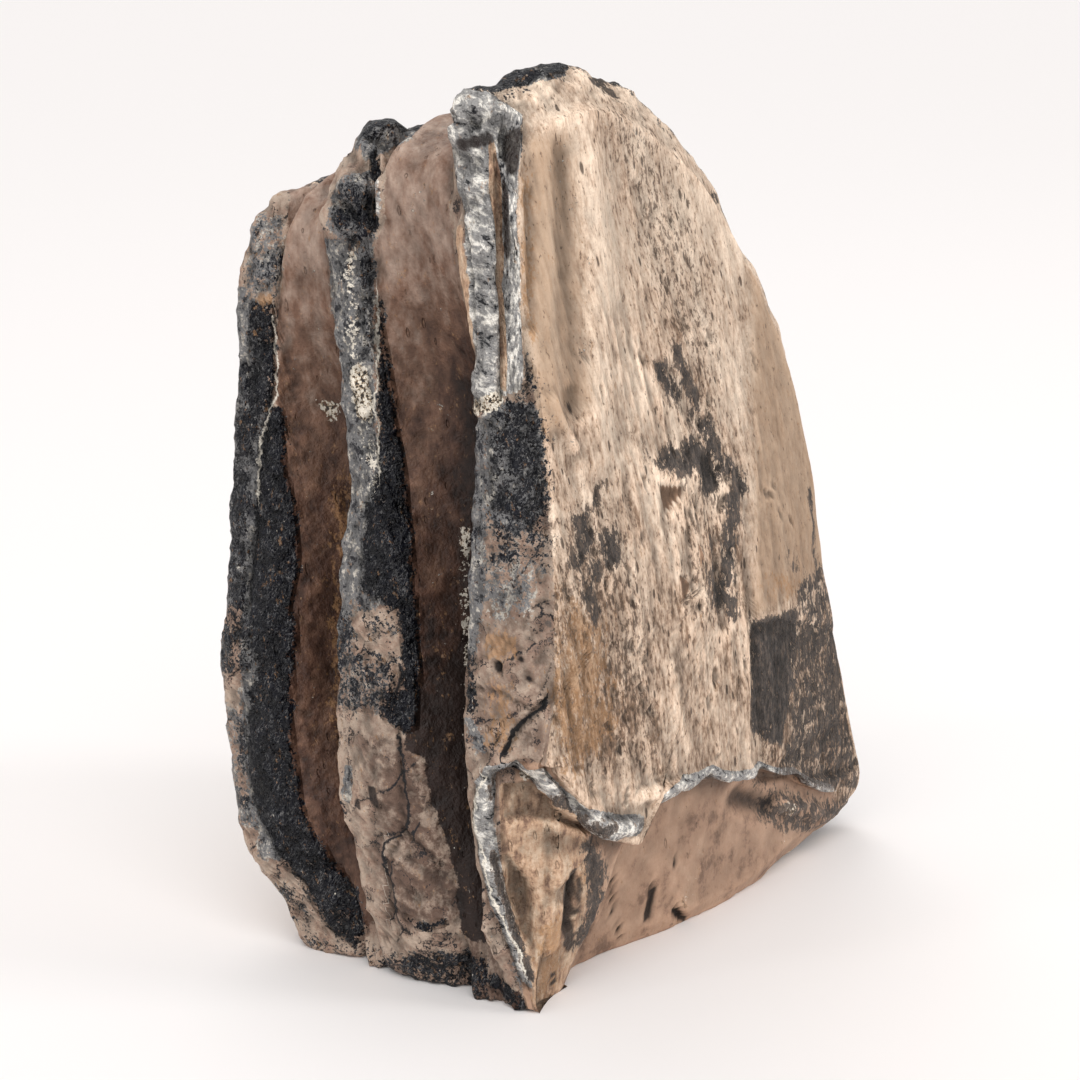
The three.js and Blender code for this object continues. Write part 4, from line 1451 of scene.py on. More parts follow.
    stain: tuple[Area, ...] = (
        Area("14.4 74.6, 15.6 72.4, 16.8 71", 1.1, 2.6, FACE, 0.95),
        Area("16.4 76.4, 17.7 73, 19 70.2", 0.7, 2.0, FACE),
        Area("18.6 70.6, 19.4 68.8, 18.4 67.6", 0.5, 1.6, FACE, 0.9),
        Area("15.2 63.8, 17.8 62.4", 1.5, 2.6, FACE, 1.0),
        Area("18.6 64.4, 20.6 61.6, 21.2 59", 1.4, 2.6, FACE, 1.1),
        Area("20.6 66.6, 22.2 62.4, 24.4 59.6, 25.4 57", 1.0, 2.4, FACE, 1.05),
        Area("24.2 56.6, 24 52, 23.6 46", 1.1, 2.6, FACE, 1.0),
        Area("21.2 52.6, 21.8 49.6", 0.5, 1.8, FACE, 0.85),
        Area("21.6 48.6, 22.4 44", 1.1, 2.6, FACE, 1.0),
        Area("23.6 44.6, 24.6 41.6", 1.0, 2.6, FACE, 0.95),
        Area("6.6 62.6, 6.2 60.4", 0.7, 2.2, FACE, 0.8),
        Area("4.6 59.4, 5.4 57.6, 4.4 55.2", 1.3, 2.6, FACE, 0.95),
        Area("8 56.4, 8.2 54", 1.4, 2.6, FACE, 1.0),
        Area("6.2 53.8, 5.8 50.4, 6.4 47.6", 1.0, 2.6, FACE, 0.95),
        Area("3.2 53, 3 46", 0.8, 3.0, FACE, 0.6),
        Area("27.4 39.8, 33.6 39, 34.4 34, 33.8 28, 32.4 20.5, 30.6 21.6, 28 24", None, 1.4, FACE, 1.1),
        Area("33.4 41.6, 37.6 44, 46 34, 46 6, 31.6 15, 33.2 22, 33.8 30", None, 2.4, FRONT, 0.76),
        Area("35.4 54, 36.3 46, 37.6 38", 0.3, 1.0, FRONT),
        Area("21 94.2, 23 91.6, 24.9 88.6", 0.25, 0.9, FRONT, 0.9),
        Area("5.6 108.6, 8.8 106.4", 0.4, 0.8, FRONT, 0.9),
        Area("31.6 47, 34 43.6", 0.9, 3.0, FACE, 0.62),
        Area("12 93, 15 84, 18 78", 2.0, 5.0, FACE, 0.34),
        Area("12.4 66, 13.4 62.6", 0.8, 3.0, FACE, 0.6),
        # Darker crumbly ground in the break; its dark is partly painted shade on a sloped wall that faces
        # away.
        Area("5.4 18.6, 6.6 15, 6.4 10, 5.2 6", 1.3, 3.0, BREAK),
        Area("31.8 10.6, 35.6 7.8, 39.6 5.2, 43.6 4.4", 2.6, 2.6, (-0.47, 0.2), 0.72),
        # Painted shadow: a dark band on the recess just under the overhanging edge of the break.
        Area("19.5 21.4, 25.4 18, 31.4 13", 0.9, 1.8, (-0.5, 0.2), 0.62),
        Area("-5.9 20, -5 15.5, -3.7 11.2, -2.2 7.4, -1.2 4.4", 0.55, 0.8, BREAK),
        Area("1.2 27, 3.4 24.6, 6 22.6, 7.6 21.6", 0.7, 1.2, BREAK, 0.85),
        Area("-5.6 30, -6.4 27", 0.5, 0.9, BREAK, 0.8),
    )
    rusty: tuple[Area, ...] = (
        Area("2.6 52, 7.6 48, 8.8 33, 3.4 29, 1 38", None, 5.0, FACE),
        Area("33.2 38.4, 33.4 34.2", 0.4, 1.0, FACE, 1.2),
        Area("30 44, 34 41", 1.6, 4.0, FACE, 0.6),
        Area("-34.2 82.8, -33.2 82.8", 0.5, 0.9, RIDGE_1, 1.3),
        Area("-35.2 78.7", 0.4, 0.8, RIDGE_1, 1.2),
        Area("-1.9 99, -1.6 88, -1.4 81", 0.6, 1.4, RIDGE_3, 0.8),
        Area("-4.7 45.6", 1.9, 2.4, RIDGE_3),
        Area("-5 40.6, -5 34.4", 1.4, 2.2, RIDGE_3, 0.8),
        Area("6.9 11.4", 0.7, 0.8, BREAK, 1.3),
        Area("5 17.6, 6 12", 1.4, 3.0, BREAK, 0.7),
        Area("1.2 10, 0.6 2", 1.6, 2.4, BREAK),
        Area("-24.2 60, -25.6 40, -25 24", 1.4, 4.0, (1.36, 1.7), 0.8),
    )
    spongy: tuple[Area, ...] = (
        Area("2 60, 8.4 62, 13 44, 14 27, 1.6 31", None, 8.0, FACE),
        Area("10.1 104.6, 13.2 96.4, 16.4 86.7, 18.3 79.3, 19.6 66, 21.4 44", 3.6, 6.0, FACE, 0.7),
        Area("27.4 39, 40.8 32, 45 8, 30 15", None, 2.0, FACE, 0.8),
    )
    smooth: tuple[Area, ...] = (
        Area("26.2 88, 38 70, 39 42, 27.2 40", None, 2.4, FACE),
        Area("-0.6 101.5, -0.1 90.3, 0.2 81.5, 0.8 71.5", 1.8, 3.0, FACE),
        Area("1.5 101.5, 2.3 90.3, 2.8 81.5, 3.6 73.5", 2.0, 3.0, FACE),
    )
    chipped: tuple[Area, ...] = (
        Area("14.6 60.8, 17.8 59.6, 15.3 57.3", None, 0.8, FACE),
        Area("17 49.4, 18.6 47.6, 17.8 45.2", None, 0.8, FACE),
        Area("19.3 53, 20.4 50.4, 19.6 49", None, 0.8, FACE, 0.8),
    )
    crumbs: tuple[Area, ...] = (
        Area("-21.6 75.2, -21.1 70.8", 1.1, 1.0, RIDGE_2),
        Area("-20.9 70.6, -20.2 61", 0.9, 2.2, RIDGE_2, 0.42),
        Area("-22.9 88, -22.4 78", 0.9, 2.4, RIDGE_2, 0.5),
        Area("-7.9 72.6, -5.2 74.2", 0.8, 0.9, RIDGE_3),
        Area("-9.8 56, -9.5 46.8, -9.5 40.7, -10 31.1, -9.7 24, -9.5 16", 0.9, 2.4, (0.3, 0.62), 0.62),
        Area("-27.9 70.4, -24.8 70.4, -25.8 67", None, 0.9, (1.36, 1.7), 0.8),
        Area("-1.9 29.6", 0.8, 0.7, BREAK),
        Area("32.8 10, 33.6 9.2", 0.7, 0.7, BREAK),
    )
    # Painted shade, not a tissue: dark in the pits, cracks, slots and cavity, and a soft dark pocket under
    # the edge of the break.
    hollow: tuple[Area, ...] = (
        Area("-3.2 103.4, -3.6 99.6", 0.6, 0.8, RIDGE_3),
        Area("-8.4 102.4, -6 103", 0.8, 0.9, RIDGE_3, 0.85),
        Area("-4.2 98.4, -4 90", 0.28, 0.5, RIDGE_3, 0.9),
        Area("3.5 16.2, 3.2 13.1, 3 9.6, 3.3 6", 0.7, 0.9, BREAK),
        Area("1.5 1.4, 1.4 3.4", 0.4, 0.9, BREAK, 0.9),
        Area("4.4 15, 4.3 10", 0.5, 1.0, BREAK, 0.7),
        Area("8.7 10.4, 8.9 8, 9 5.6", 0.2, 0.5, BREAK, 0.8),
        Area("14.4 7, 14.1 5, 13.7 2.9", 0.36, 0.5, BREAK),
        Area("17.1 10.4, 17.5 8.1", 0.16, 0.4, BREAK, 0.8),
        Area("9.7 3.8, 10.1 1.4", 0.16, 0.4, BREAK, 0.8),
        Area("17.6 2.6, 18.6 0.4", 0.5, 0.6, BREAK),
        Area("25.5 16.5, 29 15, 33 11.5, 31.5 9, 28.5 10.5, 26 13", None, 4.4, BREAK, 0.62),
        Area("29.4 12, 30.8 11", 0.5, 2.0, BREAK, 0.8),
        Area("-3.2 18.3, -1.6 16.8, -1.2 13, -2 9.4, -3.2 12, -3.9 16", None, 1.2, BREAK, 0.5),
        Area("-5.2 43.4", 0.6, 0.7, RIDGE_3),
        Area("-2.4 44.5", 0.4, 0.5, RIDGE_3),
        Area("-1.3 42.1", 0.35, 0.5, RIDGE_3),
        Area("-22.7 23.4, -22.6 22.6", 0.4, 0.7, RIDGE_2),
        Area("-20.9 25, -20.4 23.2", 0.5, 0.8, RIDGE_2),
        Area("-17.3 19.5, -15.2 17.8, -13.2 16.5", 0.15, 0.6, RIDGE_2, 0.85),
        Area("-20.5 18.9, -17.4 21.4", 0.15, 0.6, RIDGE_2, 0.7),
        Area("3.4 73, 3.7 71.8", 0.4, 0.6, FACE, 0.7),
    )
    pale_lines: tuple[str, ...] = (
        "-7 30.2, -7.8 26.8, -7.7 23.7, -6.9 19.5, -6 13.9, -4.5 10.6, -2.9 8.1, -1.6 4.8",
        "-19.7 84.8, -19.6 79.1, -19.7 72.2, -19.3 63.5",
        "-32.8 81.2, -33 70.5, -34.5 66.8, -35.4 58",
    )
    dark_lines: tuple[str, ...] = (
        "-17.4 32, -17.3 29.7, -17 27.1, -16.8 25.2, -17.3 19.8, -18.9 18.4, -19.5 15, -18.2 12.6, -18.6 8.1",
        "0.6 39.5, -0.9 37.9, -2.4 36.5, -3.8 34.3, -4.6 32.8",
    )
    # Painted shade: the middle ridge's lower facet faces away and lies in shade, so it is painted darker. The
    # areas on the front ridge are painted darker too.
    dusky: tuple[Area, ...] = (
        Area("-23 31, -21 25, -20.5 15, -19 8, -16 9, -15.6 20, -16 31, -19 33", None, 4.0, RIDGE_2, 1.0),
        Area("-18.6 31, -14 30, -13 24, -11 19, -9.6 14, -9.6 9, -17 9, -18 18",
             None, 2.0, (0.42, 1.36), 1.1),
        Area("-8 60, -5.8 44, -5.6 30, -9 4, -12 60", None, 2.0, RIDGE_3, 0.4),
        Area("-3.4 40, 0.6 36, -0.4 32, -4.4 36", None, 2.0, RIDGE_3, 0.8),
        Area("-6.4 52, 0.8 50, 1 40, -6 38", None, 3.0, RIDGE_3, 0.5),
    )

    def masks(self, skin: Skin, near: NearSide) -> Masks:
        """Works out the mask of each tissue.

        Round the back and over the crown the tissues follow the rows: enamel on the ridges, brown
        cementum in the grooves. On the near side the listed areas take over.

        Args:
            skin: The skin.
            near: Its places on the near side.

        Returns:
            The masks by name.
        """
        x, _, z = np.moveaxis(skin.points, -1, 0)
        crest = np.round(np.clip(skin.station, 0, 2))
        off_crest = np.abs(skin.station - crest)
        outside = rise(skin.station, -0.24, -0.16) * fall(skin.station, 2.28, 2.36) * (1 - skin.broken)
        near_edge = fall(x, -27, -21) * fall(z, 99, 104) * outside
        between = np.where((skin.station > 0) & (skin.station < 2), rise(off_crest, 0.22, 0.30), 0.0)
        ridge = (1 - between) * outside
        far = ridge * (1 - near_edge)
        crest_line = hill(skin.station, crest + 0.05, 0.15)
        black_far = far * crest_line * mix(0.66, 0.72, rise(z, 80, 104))
        rear = rise(skin.station, 0.0, 0.1)
        # Painted shade in the grooves: darker in the slot behind the front ridge and towards the foot, where
        # the grooves are deep.
        beside_ridge = 0.75 * near.within(0.26, 0.58, 0.14) * fall(z, 66, 92)
        foot_of_groove = near.within(0.26, 0.80, 0.14) * fall(z, 26, 56)
        groove_shade = np.maximum(beside_ridge, foot_of_groove)
        named = ("dentine", "stain", "rusty", "spongy", "smooth", "chipped", "crumbs", "hollow")
        masks = {name: covered(near, getattr(self, name)) for name in named}
        masks["groove"] = np.maximum(between, near_edge)
        masks["deep_groove"] = np.maximum(groove_shade * near_edge, covered(near, self.dusky))
        masks["ridge_cementum"] = np.maximum(covered(near, self.ridge_cementum), 0.5 * far * rear)
        masks["grey_enamel"] = np.maximum(covered(near, self.grey_enamel), 0.80 * far * rear)
        black = np.maximum(black_far, 0.42 * fall(z, 0.5, 5.0) * outside)
        masks["black_enamel"] = np.maximum(covered(near, self.black_enamel), black)
        masks["recess"] = skin.broken
        masks["broken_enamel"] = np.maximum(covered(near, self.broken_enamel), self._break_edge(skin))
        masks["lined"] = self._lined(near)
        for kind, paths in (("pale", self.pale_lines), ("dark", self.dark_lines)):
            for number, path in enumerate(paths, start=1):
                masks[f"{kind}_line_{number}"] = near.offset(path)
        return masks

    def _lined(self, near: NearSide) -> Array:
        """1 along the thin lines, 0 past their ends.

        Args:
            near: Its places on the near side.

        Returns:
            The mask.
        """
        total = np.zeros(near.across.shape)
        for path in self.pale_lines + self.dark_lines:
            total = np.maximum(total, near.shape(path, 1.3, 0.8))
        return total

    @staticmethod
    def _break_edge(skin: Skin) -> Array:
        """The enamel that shows along the edge of the break, past the window."""
        edge = rise(skin.station, -0.53, -0.512) * fall(skin.station, -0.478, -0.464)
        return edge * skin.broken.max(axis=1, keepdims=True) * rise(skin.points[..., 0], -14, -6)


# ---- The finishes ------------------------------------------------------------------------------------


def opaque(colour: Colour) -> tuple[float, float, float, float]:
    """A colour with full alpha."""
    return (*colour, 1.0)


class Finish:
    """A tissue's look, as a node group.

    Every group has the input Place, in mm, and the outputs Colour and Roughness.
    """

    name = "finish"
    inputs: tuple[str, ...] = ()
    outputs: tuple[str, ...] = ("Colour", "Roughness")

    def group(self) -> bpy.types.NodeTree:
        """Builds the group.

        Returns:
            The node tree.
        """
        tree = bpy.data.node_groups.new(self.name, "ShaderNodeTree")
        tree.interface.new_socket("Place", in_out="INPUT", socket_type="NodeSocketVector")
        for name in self.inputs:
            tree.interface.new_socket(name, in_out="INPUT", socket_type="NodeSocketFloat")
        for name in self.outputs:
            kind = "NodeSocketColor" if name == "Colour" else "NodeSocketFloat"
            tree.interface.new_socket(name, in_out="OUTPUT", socket_type=kind)
        graph = Graph(tree)
        source = tree.nodes.new("NodeGroupInput")
        result = tree.nodes.new("NodeGroupOutput")
        for name, value in zip(self.outputs, self.draw(graph, source.outputs)):
            graph.feed(result.inputs[name], value)
        return tree

    def draw(self, graph: Graph, inputs: Inputs) -> Values:
        """Adds the group's nodes.

        Args:
            graph: The group's tree.
            inputs: Its inputs.

        Returns:
            Its outputs' values, in order.
        """
        raise NotImplementedError


LEANING = (0.0, math.radians(-13), 0.0)  # how the grain of the broad faces leans from upright


@dataclass(frozen=True)
class Grain(Finish):
    """Fine relief of every tissue, mm: a fine grain, an upright grain and lumps, each with a strength."""

    name = "grain"
    inputs = ("Fine", "Upright", "Lumps", "Pore")
    outputs = ("Height",)
    pore_depth: float = 0.34

    def draw(self, graph: Graph, inputs: Inputs) -> Values:
        """Three noises, weighed by the inputs, less the pores.

        Args:
            graph: The group's tree.
            inputs: Its inputs.

        Returns:
            Its outputs' values, in order.
        """
        place = inputs["Place"]
        fine = graph.noise(place, 1.9, 2, 0.7)
        upright = graph.streaks(place, (0.5, 0.5, 2.0), 2, 0.6, LEANING)
        lumps = graph.noise(place, 0.7, 3, 0.62)
        height = graph.times(fine, inputs["Fine"])
        height = graph.scaled(upright, inputs["Upright"], height)
        height = graph.scaled(lumps, inputs["Lumps"], height)
        return (graph.scaled(inputs["Pore"], -self.pore_depth, height),)


@dataclass(frozen=True)
class Pores(Finish):
    """Long pores at the middles of some cells: 1 in a pore. Crowd is the share of the cells that have one."""

    name = "pores"
    inputs = ("Crowd",)
    outputs = ("Pore",)
    size: Triple = (0.9, 0.9, 2.9)
    reach: float = 0.26

    def draw(self, graph: Graph, inputs: Inputs) -> Values:
        """The distance from a cell's middle over the pore's half size, where the cell's number is low.

        Args:
            graph: The group's tree.
            inputs: Its inputs.

        Returns:
            Its outputs' values, in order.
        """
        cell = graph.cells(graph.stretch(inputs["Place"], self.size, LEANING), 1.0)
        chosen = graph.math("LESS_THAN", graph.separate(cell.outputs["Color"]), inputs["Crowd"])
        size_here = graph.scaled(graph.separate(cell.outputs["Color"], "Y"), self.reach, 0.3 * self.reach)
        gone = graph.math("DIVIDE", cell.outputs["Distance"], size_here)
        return (graph.times(graph.range(gone, 1.0, 0.55), chosen),)


@dataclass(frozen=True)
class FaceCementum(Finish):
    """Pale tan cementum of the broad faces: fine upright striation, blotches and brown pits."""

    name = "face_cementum"
    inputs = ("Spongy", "Smooth", "Pore", "Up")
    light: Colour = (0.86, 0.69, 0.54)
    mid: Colour = (0.60, 0.44, 0.325)
    brown: Colour = (0.25, 0.16, 0.105)
    ochre: Colour = (0.36, 0.24, 0.155)
    pore: Colour = (0.085, 0.056, 0.040)

    def draw(self, graph: Graph, inputs: Inputs) -> Values:
        """Blotches and striation pick the tan; pores and pits cut dark spots into it.

        Args:
            graph: The group's tree.
            inputs: Its inputs.

        Returns:
            Its outputs' values, in order.
        """
        place = inputs["Place"]
        grain = graph.streaks(place, (0.5, 0.5, 2.0), 3, 0.65, LEANING)
        broad = graph.streaks(place, (5, 5, 11), 2, 0.6, LEANING)
        crumb = graph.streaks(place, (0.55, 0.55, 1.2), 2, 0.72, LEANING)
        tone = graph.math("ADD", graph.times(broad, 0.40), graph.times(grain, 0.44))
        tone = graph.scaled(crumb, 0.34, tone)
        tone = graph.math("ADD", tone, graph.range(inputs["Up"], 25.0, 85.0, -0.075, 0.0))
        tone = graph.scaled(inputs["Spongy"], -0.05, tone)
        colour = graph.ramp(tone, ((0.41, self.brown), (0.515, self.mid), (0.66, self.light)))
        colour = graph.blend(graph.times(inputs["Smooth"], 0.80), colour, opaque(self.ochre))
        opened = graph.scaled(inputs["Spongy"], 0.15, 0.355)
        closed = graph.math("SUBTRACT", opened, 0.05)
        limits = {"Value": crumb, "From Min": opened, "From Max": closed}
        pit = graph.add("MapRange", limits).outputs["Result"]
        dark = graph.math("MAXIMUM", inputs["Pore"], graph.times(pit, 0.75))
        colour = graph.blend(graph.times(dark, 0.85), colour, opaque(self.pore))
        return colour, graph.scaled(grain, -0.2, 0.8)


@dataclass(frozen=True)
class GrooveCementum(Finish):
    """Red-brown cementum of the grooves: smooth, with a low sheen, paler towards the crown, and darkened by
    painted shade where the grooves are deep.
    """

    name = "groove_cementum"
    inputs = ("Up", "Deep", "Cloud")
    dark: Colour = (0.028, 0.017, 0.014)
    deep: Colour = (0.082, 0.042, 0.029)
    mid: Colour = (0.185, 0.102, 0.068)
    pale: Colour = (0.44, 0.33, 0.265)

    def draw(self, graph: Graph, inputs: Inputs) -> Values:
        """Height and slow clouds pick the brown, fine upright streaks vary it, and painted shade darkens it.

        Args:
            graph: The group's tree.
            inputs: Its inputs.

        Returns:
            Its outputs' values, in order.
        """
        place = inputs["Place"]
        cloud = inputs["Cloud"]
        streak = graph.streaks(place, (1.8, 1.8, 3.6), 3, 0.66)
        tone = graph.scaled(streak, 0.42, graph.scaled(cloud, 0.24, 0.19))
        tone = graph.math("ADD", tone, graph.range(inputs["Up"], 52.0, 98.0, -0.07, 0.12))
        # Painted shade: darker where the groove is deep.
        tone = graph.scaled(inputs["Deep"], -0.30, tone)
        colour = graph.ramp(tone, ((0.30, self.dark), (0.42, self.deep), (0.54, self.mid), (0.74, self.pale)))
        return colour, graph.scaled(cloud, 0.35, 0.30)


@dataclass(frozen=True)
class BlackEnamel(Finish):
    """Blue-black enamel with fine leaning wrinkles, whose crests carry pale painted glints."""

    name = "black_enamel"
    inputs = ("Cloud", "Fine")
    black: Colour = (0.0015, 0.0016, 0.003)
    blue: Colour = (0.007, 0.008, 0.013)
    # the pale grey of the painted glints
    crest: Colour = (0.36, 0.355, 0.35)
    lean: float = math.radians(28)

    def draw(self, graph: Graph, inputs: Inputs) -> Values:
        """Wrinkles are the crests of a streaky noise: one less eight times its distance from the middle.

        Args:
            graph: The group's tree.
            inputs: Its inputs.

        Returns:
            Its outputs' values, in order.
        """
        place = inputs["Place"]
        swell = graph.streaks(place, (0.55, 0.55, 1.5), 2, 0.6, (self.lean, 0, 0), 0.6)
        off_crest = graph.math("ABSOLUTE", graph.centred(swell))
        wrinkle = graph.math("MAXIMUM", graph.scaled(off_crest, -8.0, 1.0), 0.0)
        bump = inputs["Cloud"]
        # Painted glints: pale flecks along the wrinkle crests stand in for the enamel's highlights.
        painted_glints = graph.times(graph.range(wrinkle, 0.66, 1.20), graph.range(bump, 0.38, 0.60, 0.05, 1.0))
        painted_glints = graph.times(painted_glints, graph.range(inputs["Fine"], 0.38, 0.62, 0.35, 1.0))
        colour = graph.ramp(bump, ((0.35, self.black), (0.60, self.blue)))
        colour = graph.blend(graph.times(painted_glints, 0.8), colour, opaque(self.crest))
        return colour, graph.scaled(bump, 0.55, 0.03)


@dataclass(frozen=True)
class GreyEnamel(Finish):
    """Weathered grey-blue enamel, speckled with cream and black."""

    name = "grey_enamel"
    inputs = ("Fine",)
    dark: Colour = (0.022, 0.022, 0.026)
    grey: Colour = (0.165, 0.162, 0.162)
    cream: Colour = (0.52, 0.48, 0.42)

    def draw(self, graph: Graph, inputs: Inputs) -> Values:
        """Streaky noise picks dark, grey or cream, and fine grains add specks.

        Args:
            graph: The group's tree.
            inputs: Its inputs.

        Returns:
            Its outputs' values, in order.
        """
        place = inputs["Place"]
        streak = graph.streaks(place, (1.3, 1.3, 2.0), 3, 0.76)
        tone = graph.scaled(graph.centred(inputs["Fine"]), 0.6, streak)
        stops = ((0.36, self.dark), (0.45, self.grey), (0.55, self.grey), (0.68, self.cream))
        colour = graph.ramp(tone, stops)
        return colour, graph.scaled(streak, 0.5, 0.18)


@dataclass(frozen=True)
class RidgeCementum(Finish):
    """Cream and pinkish cementum of the abraded ridges, mottled grey and veined black, with painted shade in
    a dusky brown.
    """

    name = "ridge_cementum"
    inputs = ("Cloud", "Fine", "Deep")
    cream: Colour = (0.42, 0.325, 0.255)
    pink: Colour = (0.31, 0.205, 0.152)
    grey: Colour = (0.13, 0.108, 0.095)
    # the dusky brown of the painted shade
    dusk: Colour = (0.125, 0.078, 0.058)
    vein: Colour = (0.016, 0.015, 0.017)
    vein_size: float = 6.6
    vein_bend: Triple = (1.6, -1.2, 2.0)

    def draw(self, graph: Graph, inputs: Inputs) -> Values:
        """Warped clouds pick cream, pink or grey; the borders of large bent cells are thin black veins.

        Args:
            graph: The group's tree.
            inputs: Its inputs.

        Returns:
            Its outputs' values, in order.
        """
        place = inputs["Place"]
        cloud, fine = inputs["Cloud"], inputs["Fine"]
        tone = graph.scaled(graph.centred(fine), 0.25, cloud)
        colour = graph.ramp(tone, ((0.30, self.grey), (0.38, self.pink), (0.56, self.cream)))
        # Painted shade: dusky brown where the shade mask is set, broken up by the clouds.
        dusk = graph.times(inputs["Deep"], graph.range(cloud, 0.66, 0.44, 0.25, 0.95))
        colour = graph.blend(dusk, colour, opaque(self.dusk))
        shift = {0: self.vein_bend, "Scale": graph.times(cloud, 4.0)}
        shift = graph.add("VectorMath", shift, operation="SCALE").outputs[0]
        bent = graph.add("VectorMath", {0: place, 1: shift}, operation="ADD").outputs[0]
        border = graph.cells(bent, 1 / self.vein_size, "DISTANCE_TO_EDGE").outputs["Distance"]
        thin = graph.times(graph.range(border, 0.030, 0.006), graph.range(cloud, 0.56, 0.46))
        speck = graph.times(graph.range(fine, 0.35, 0.30), graph.range(cloud, 0.50, 0.42))
        colour = graph.blend(graph.math("MAXIMUM", thin, speck), colour, opaque(self.vein))
        return colour, graph.scaled(fine, 0.3, 0.36)


@dataclass(frozen=True)
class BrokenEnamel(Finish):
    """Broken enamel: pearly grey fibres with dark gaps. They stand where Standing is 1 and lie elsewhere."""

    name = "broken_enamel"
    inputs = ("Standing", "Cloud")
    dark: Colour = (0.014, 0.015, 0.018)
    grey: Colour = (0.27, 0.262, 0.255)
    white: Colour = (0.84, 0.80, 0.73)

    def draw(self, graph: Graph, inputs: Inputs) -> Values:
        """Noise stretched along the fibres, lying or standing, picks dark, grey or white.

        Args:
            graph: The group's tree.
            inputs: Its inputs.

        Returns:
            Its outputs' values, in order.
        """
        place = inputs["Place"]
        lying = graph.streaks(place, (1.5, 1.5, 0.7), 3, 0.7, (0.3, 0.3, 0), 0.5)
        standing = graph.streaks(place, (0.42, 0.42, 3.0), 2, 0.66, (0.16, -0.16, 0))
        fibre = graph.blend_number(inputs["Standing"], lying, standing)
        tone = graph.scaled(inputs["Cloud"], 0.55, graph.times(fibre, 0.6))
        stops = ((0.455, self.dark), (0.52, self.grey), (0.575, self.grey), (0.68, self.white))
        colour = graph.ramp(tone, stops)
        return colour, graph.scaled(fibre, 0.3, 0.14)


@dataclass(frozen=True)
class Dentine(Finish):
    """Orange-tan dentine: smooth, with faint growth lines and shell-shaped breaks."""

    name = "dentine"
    inputs = ("Cloud",)
    light: Colour = (0.60, 0.45, 0.325)
    orange: Colour = (0.47, 0.305, 0.20)
    brown: Colour = (0.20, 0.12, 0.082)

    def draw(self, graph: Graph, inputs: Inputs) -> Values:
        """Clouds pick the tan, and a noise drawn out along the height streaks it.

        Args:
            graph: The group's tree.
            inputs: Its inputs.

        Returns:
            Its outputs' values, in order.
        """
        place = inputs["Place"]
        cloud = inputs["Cloud"]
        streak = graph.streaks(place, (0.7, 0.7, 2.4), 2, 0.6)
        tone = graph.scaled(cloud, 0.6, graph.times(streak, 0.4))
        colour = graph.ramp(tone, ((0.38, self.brown), (0.475, self.orange), (0.59, self.light)))
        return colour, graph.scaled(cloud, 0.2, 0.40)


@dataclass(frozen=True)
class SmoothBreak(Finish):
    """The wide smooth recess: even tan-brown with a few darker clouds."""

    name = "smooth_break"
    light: Colour = (0.48, 0.32, 0.225)
    mid: Colour = (0.41, 0.26, 0.178)
    dark: Colour = (0.22, 0.135, 0.093)

    def draw(self, graph: Graph, inputs: Inputs) -> Values:
        """Slow clouds with a fine grain.

        Args:
            graph: The group's tree.
            inputs: Its inputs.

        Returns:
            Its outputs' values, in order.
        """
        tone = graph.noise(inputs["Place"], 0.2, 5, 0.68)
        colour = graph.ramp(tone, ((0.36, self.dark), (0.46, self.mid), (0.62, self.light)))
        return colour, graph.scaled(tone, 0.2, 0.5)


@dataclass(frozen=True)
class Crumbs(Finish):
    """Cream and yellow grains that have grown on, with dark gaps between them."""

    name = "crumbs"
    inputs = ("Fine", "Cloud")
    white: Colour = (0.76, 0.70, 0.60)
    yellow: Colour = (0.36, 0.27, 0.17)
    gap: Colour = (0.030, 0.026, 0.025)

    def draw(self, graph: Graph, inputs: Inputs) -> Values:
        """The fine noise picks gap, yellow or white, and the cloud makes some grains larger.

        Args:
            graph: The group's tree.
            inputs: Its inputs.

        Returns:
            Its outputs' values, in order.
        """
        tone = graph.scaled(inputs["Cloud"], 0.5, inputs["Fine"])
        colour = graph.ramp(tone, ((0.67, self.gap), (0.73, self.yellow), (0.79, self.white)))
        return colour, 0.45


@dataclass(frozen=True)
class Layer:
    """A finish laid over the ones before it, where its mask says.

    Attributes:
        mask: Name of the mask kept at the vertices.
        finish: The look.
        ragged: How far noise moves its edge, as a share of the mask.
        soft: Half width of its edge, as a share of the mask.
        speckle: How far fine noise moves its edge, as a share of the mask.
    """

    mask: str
    finish: Finish
    ragged: float = 0.7
    soft: float = 0.06
    speckle: float = 0.3


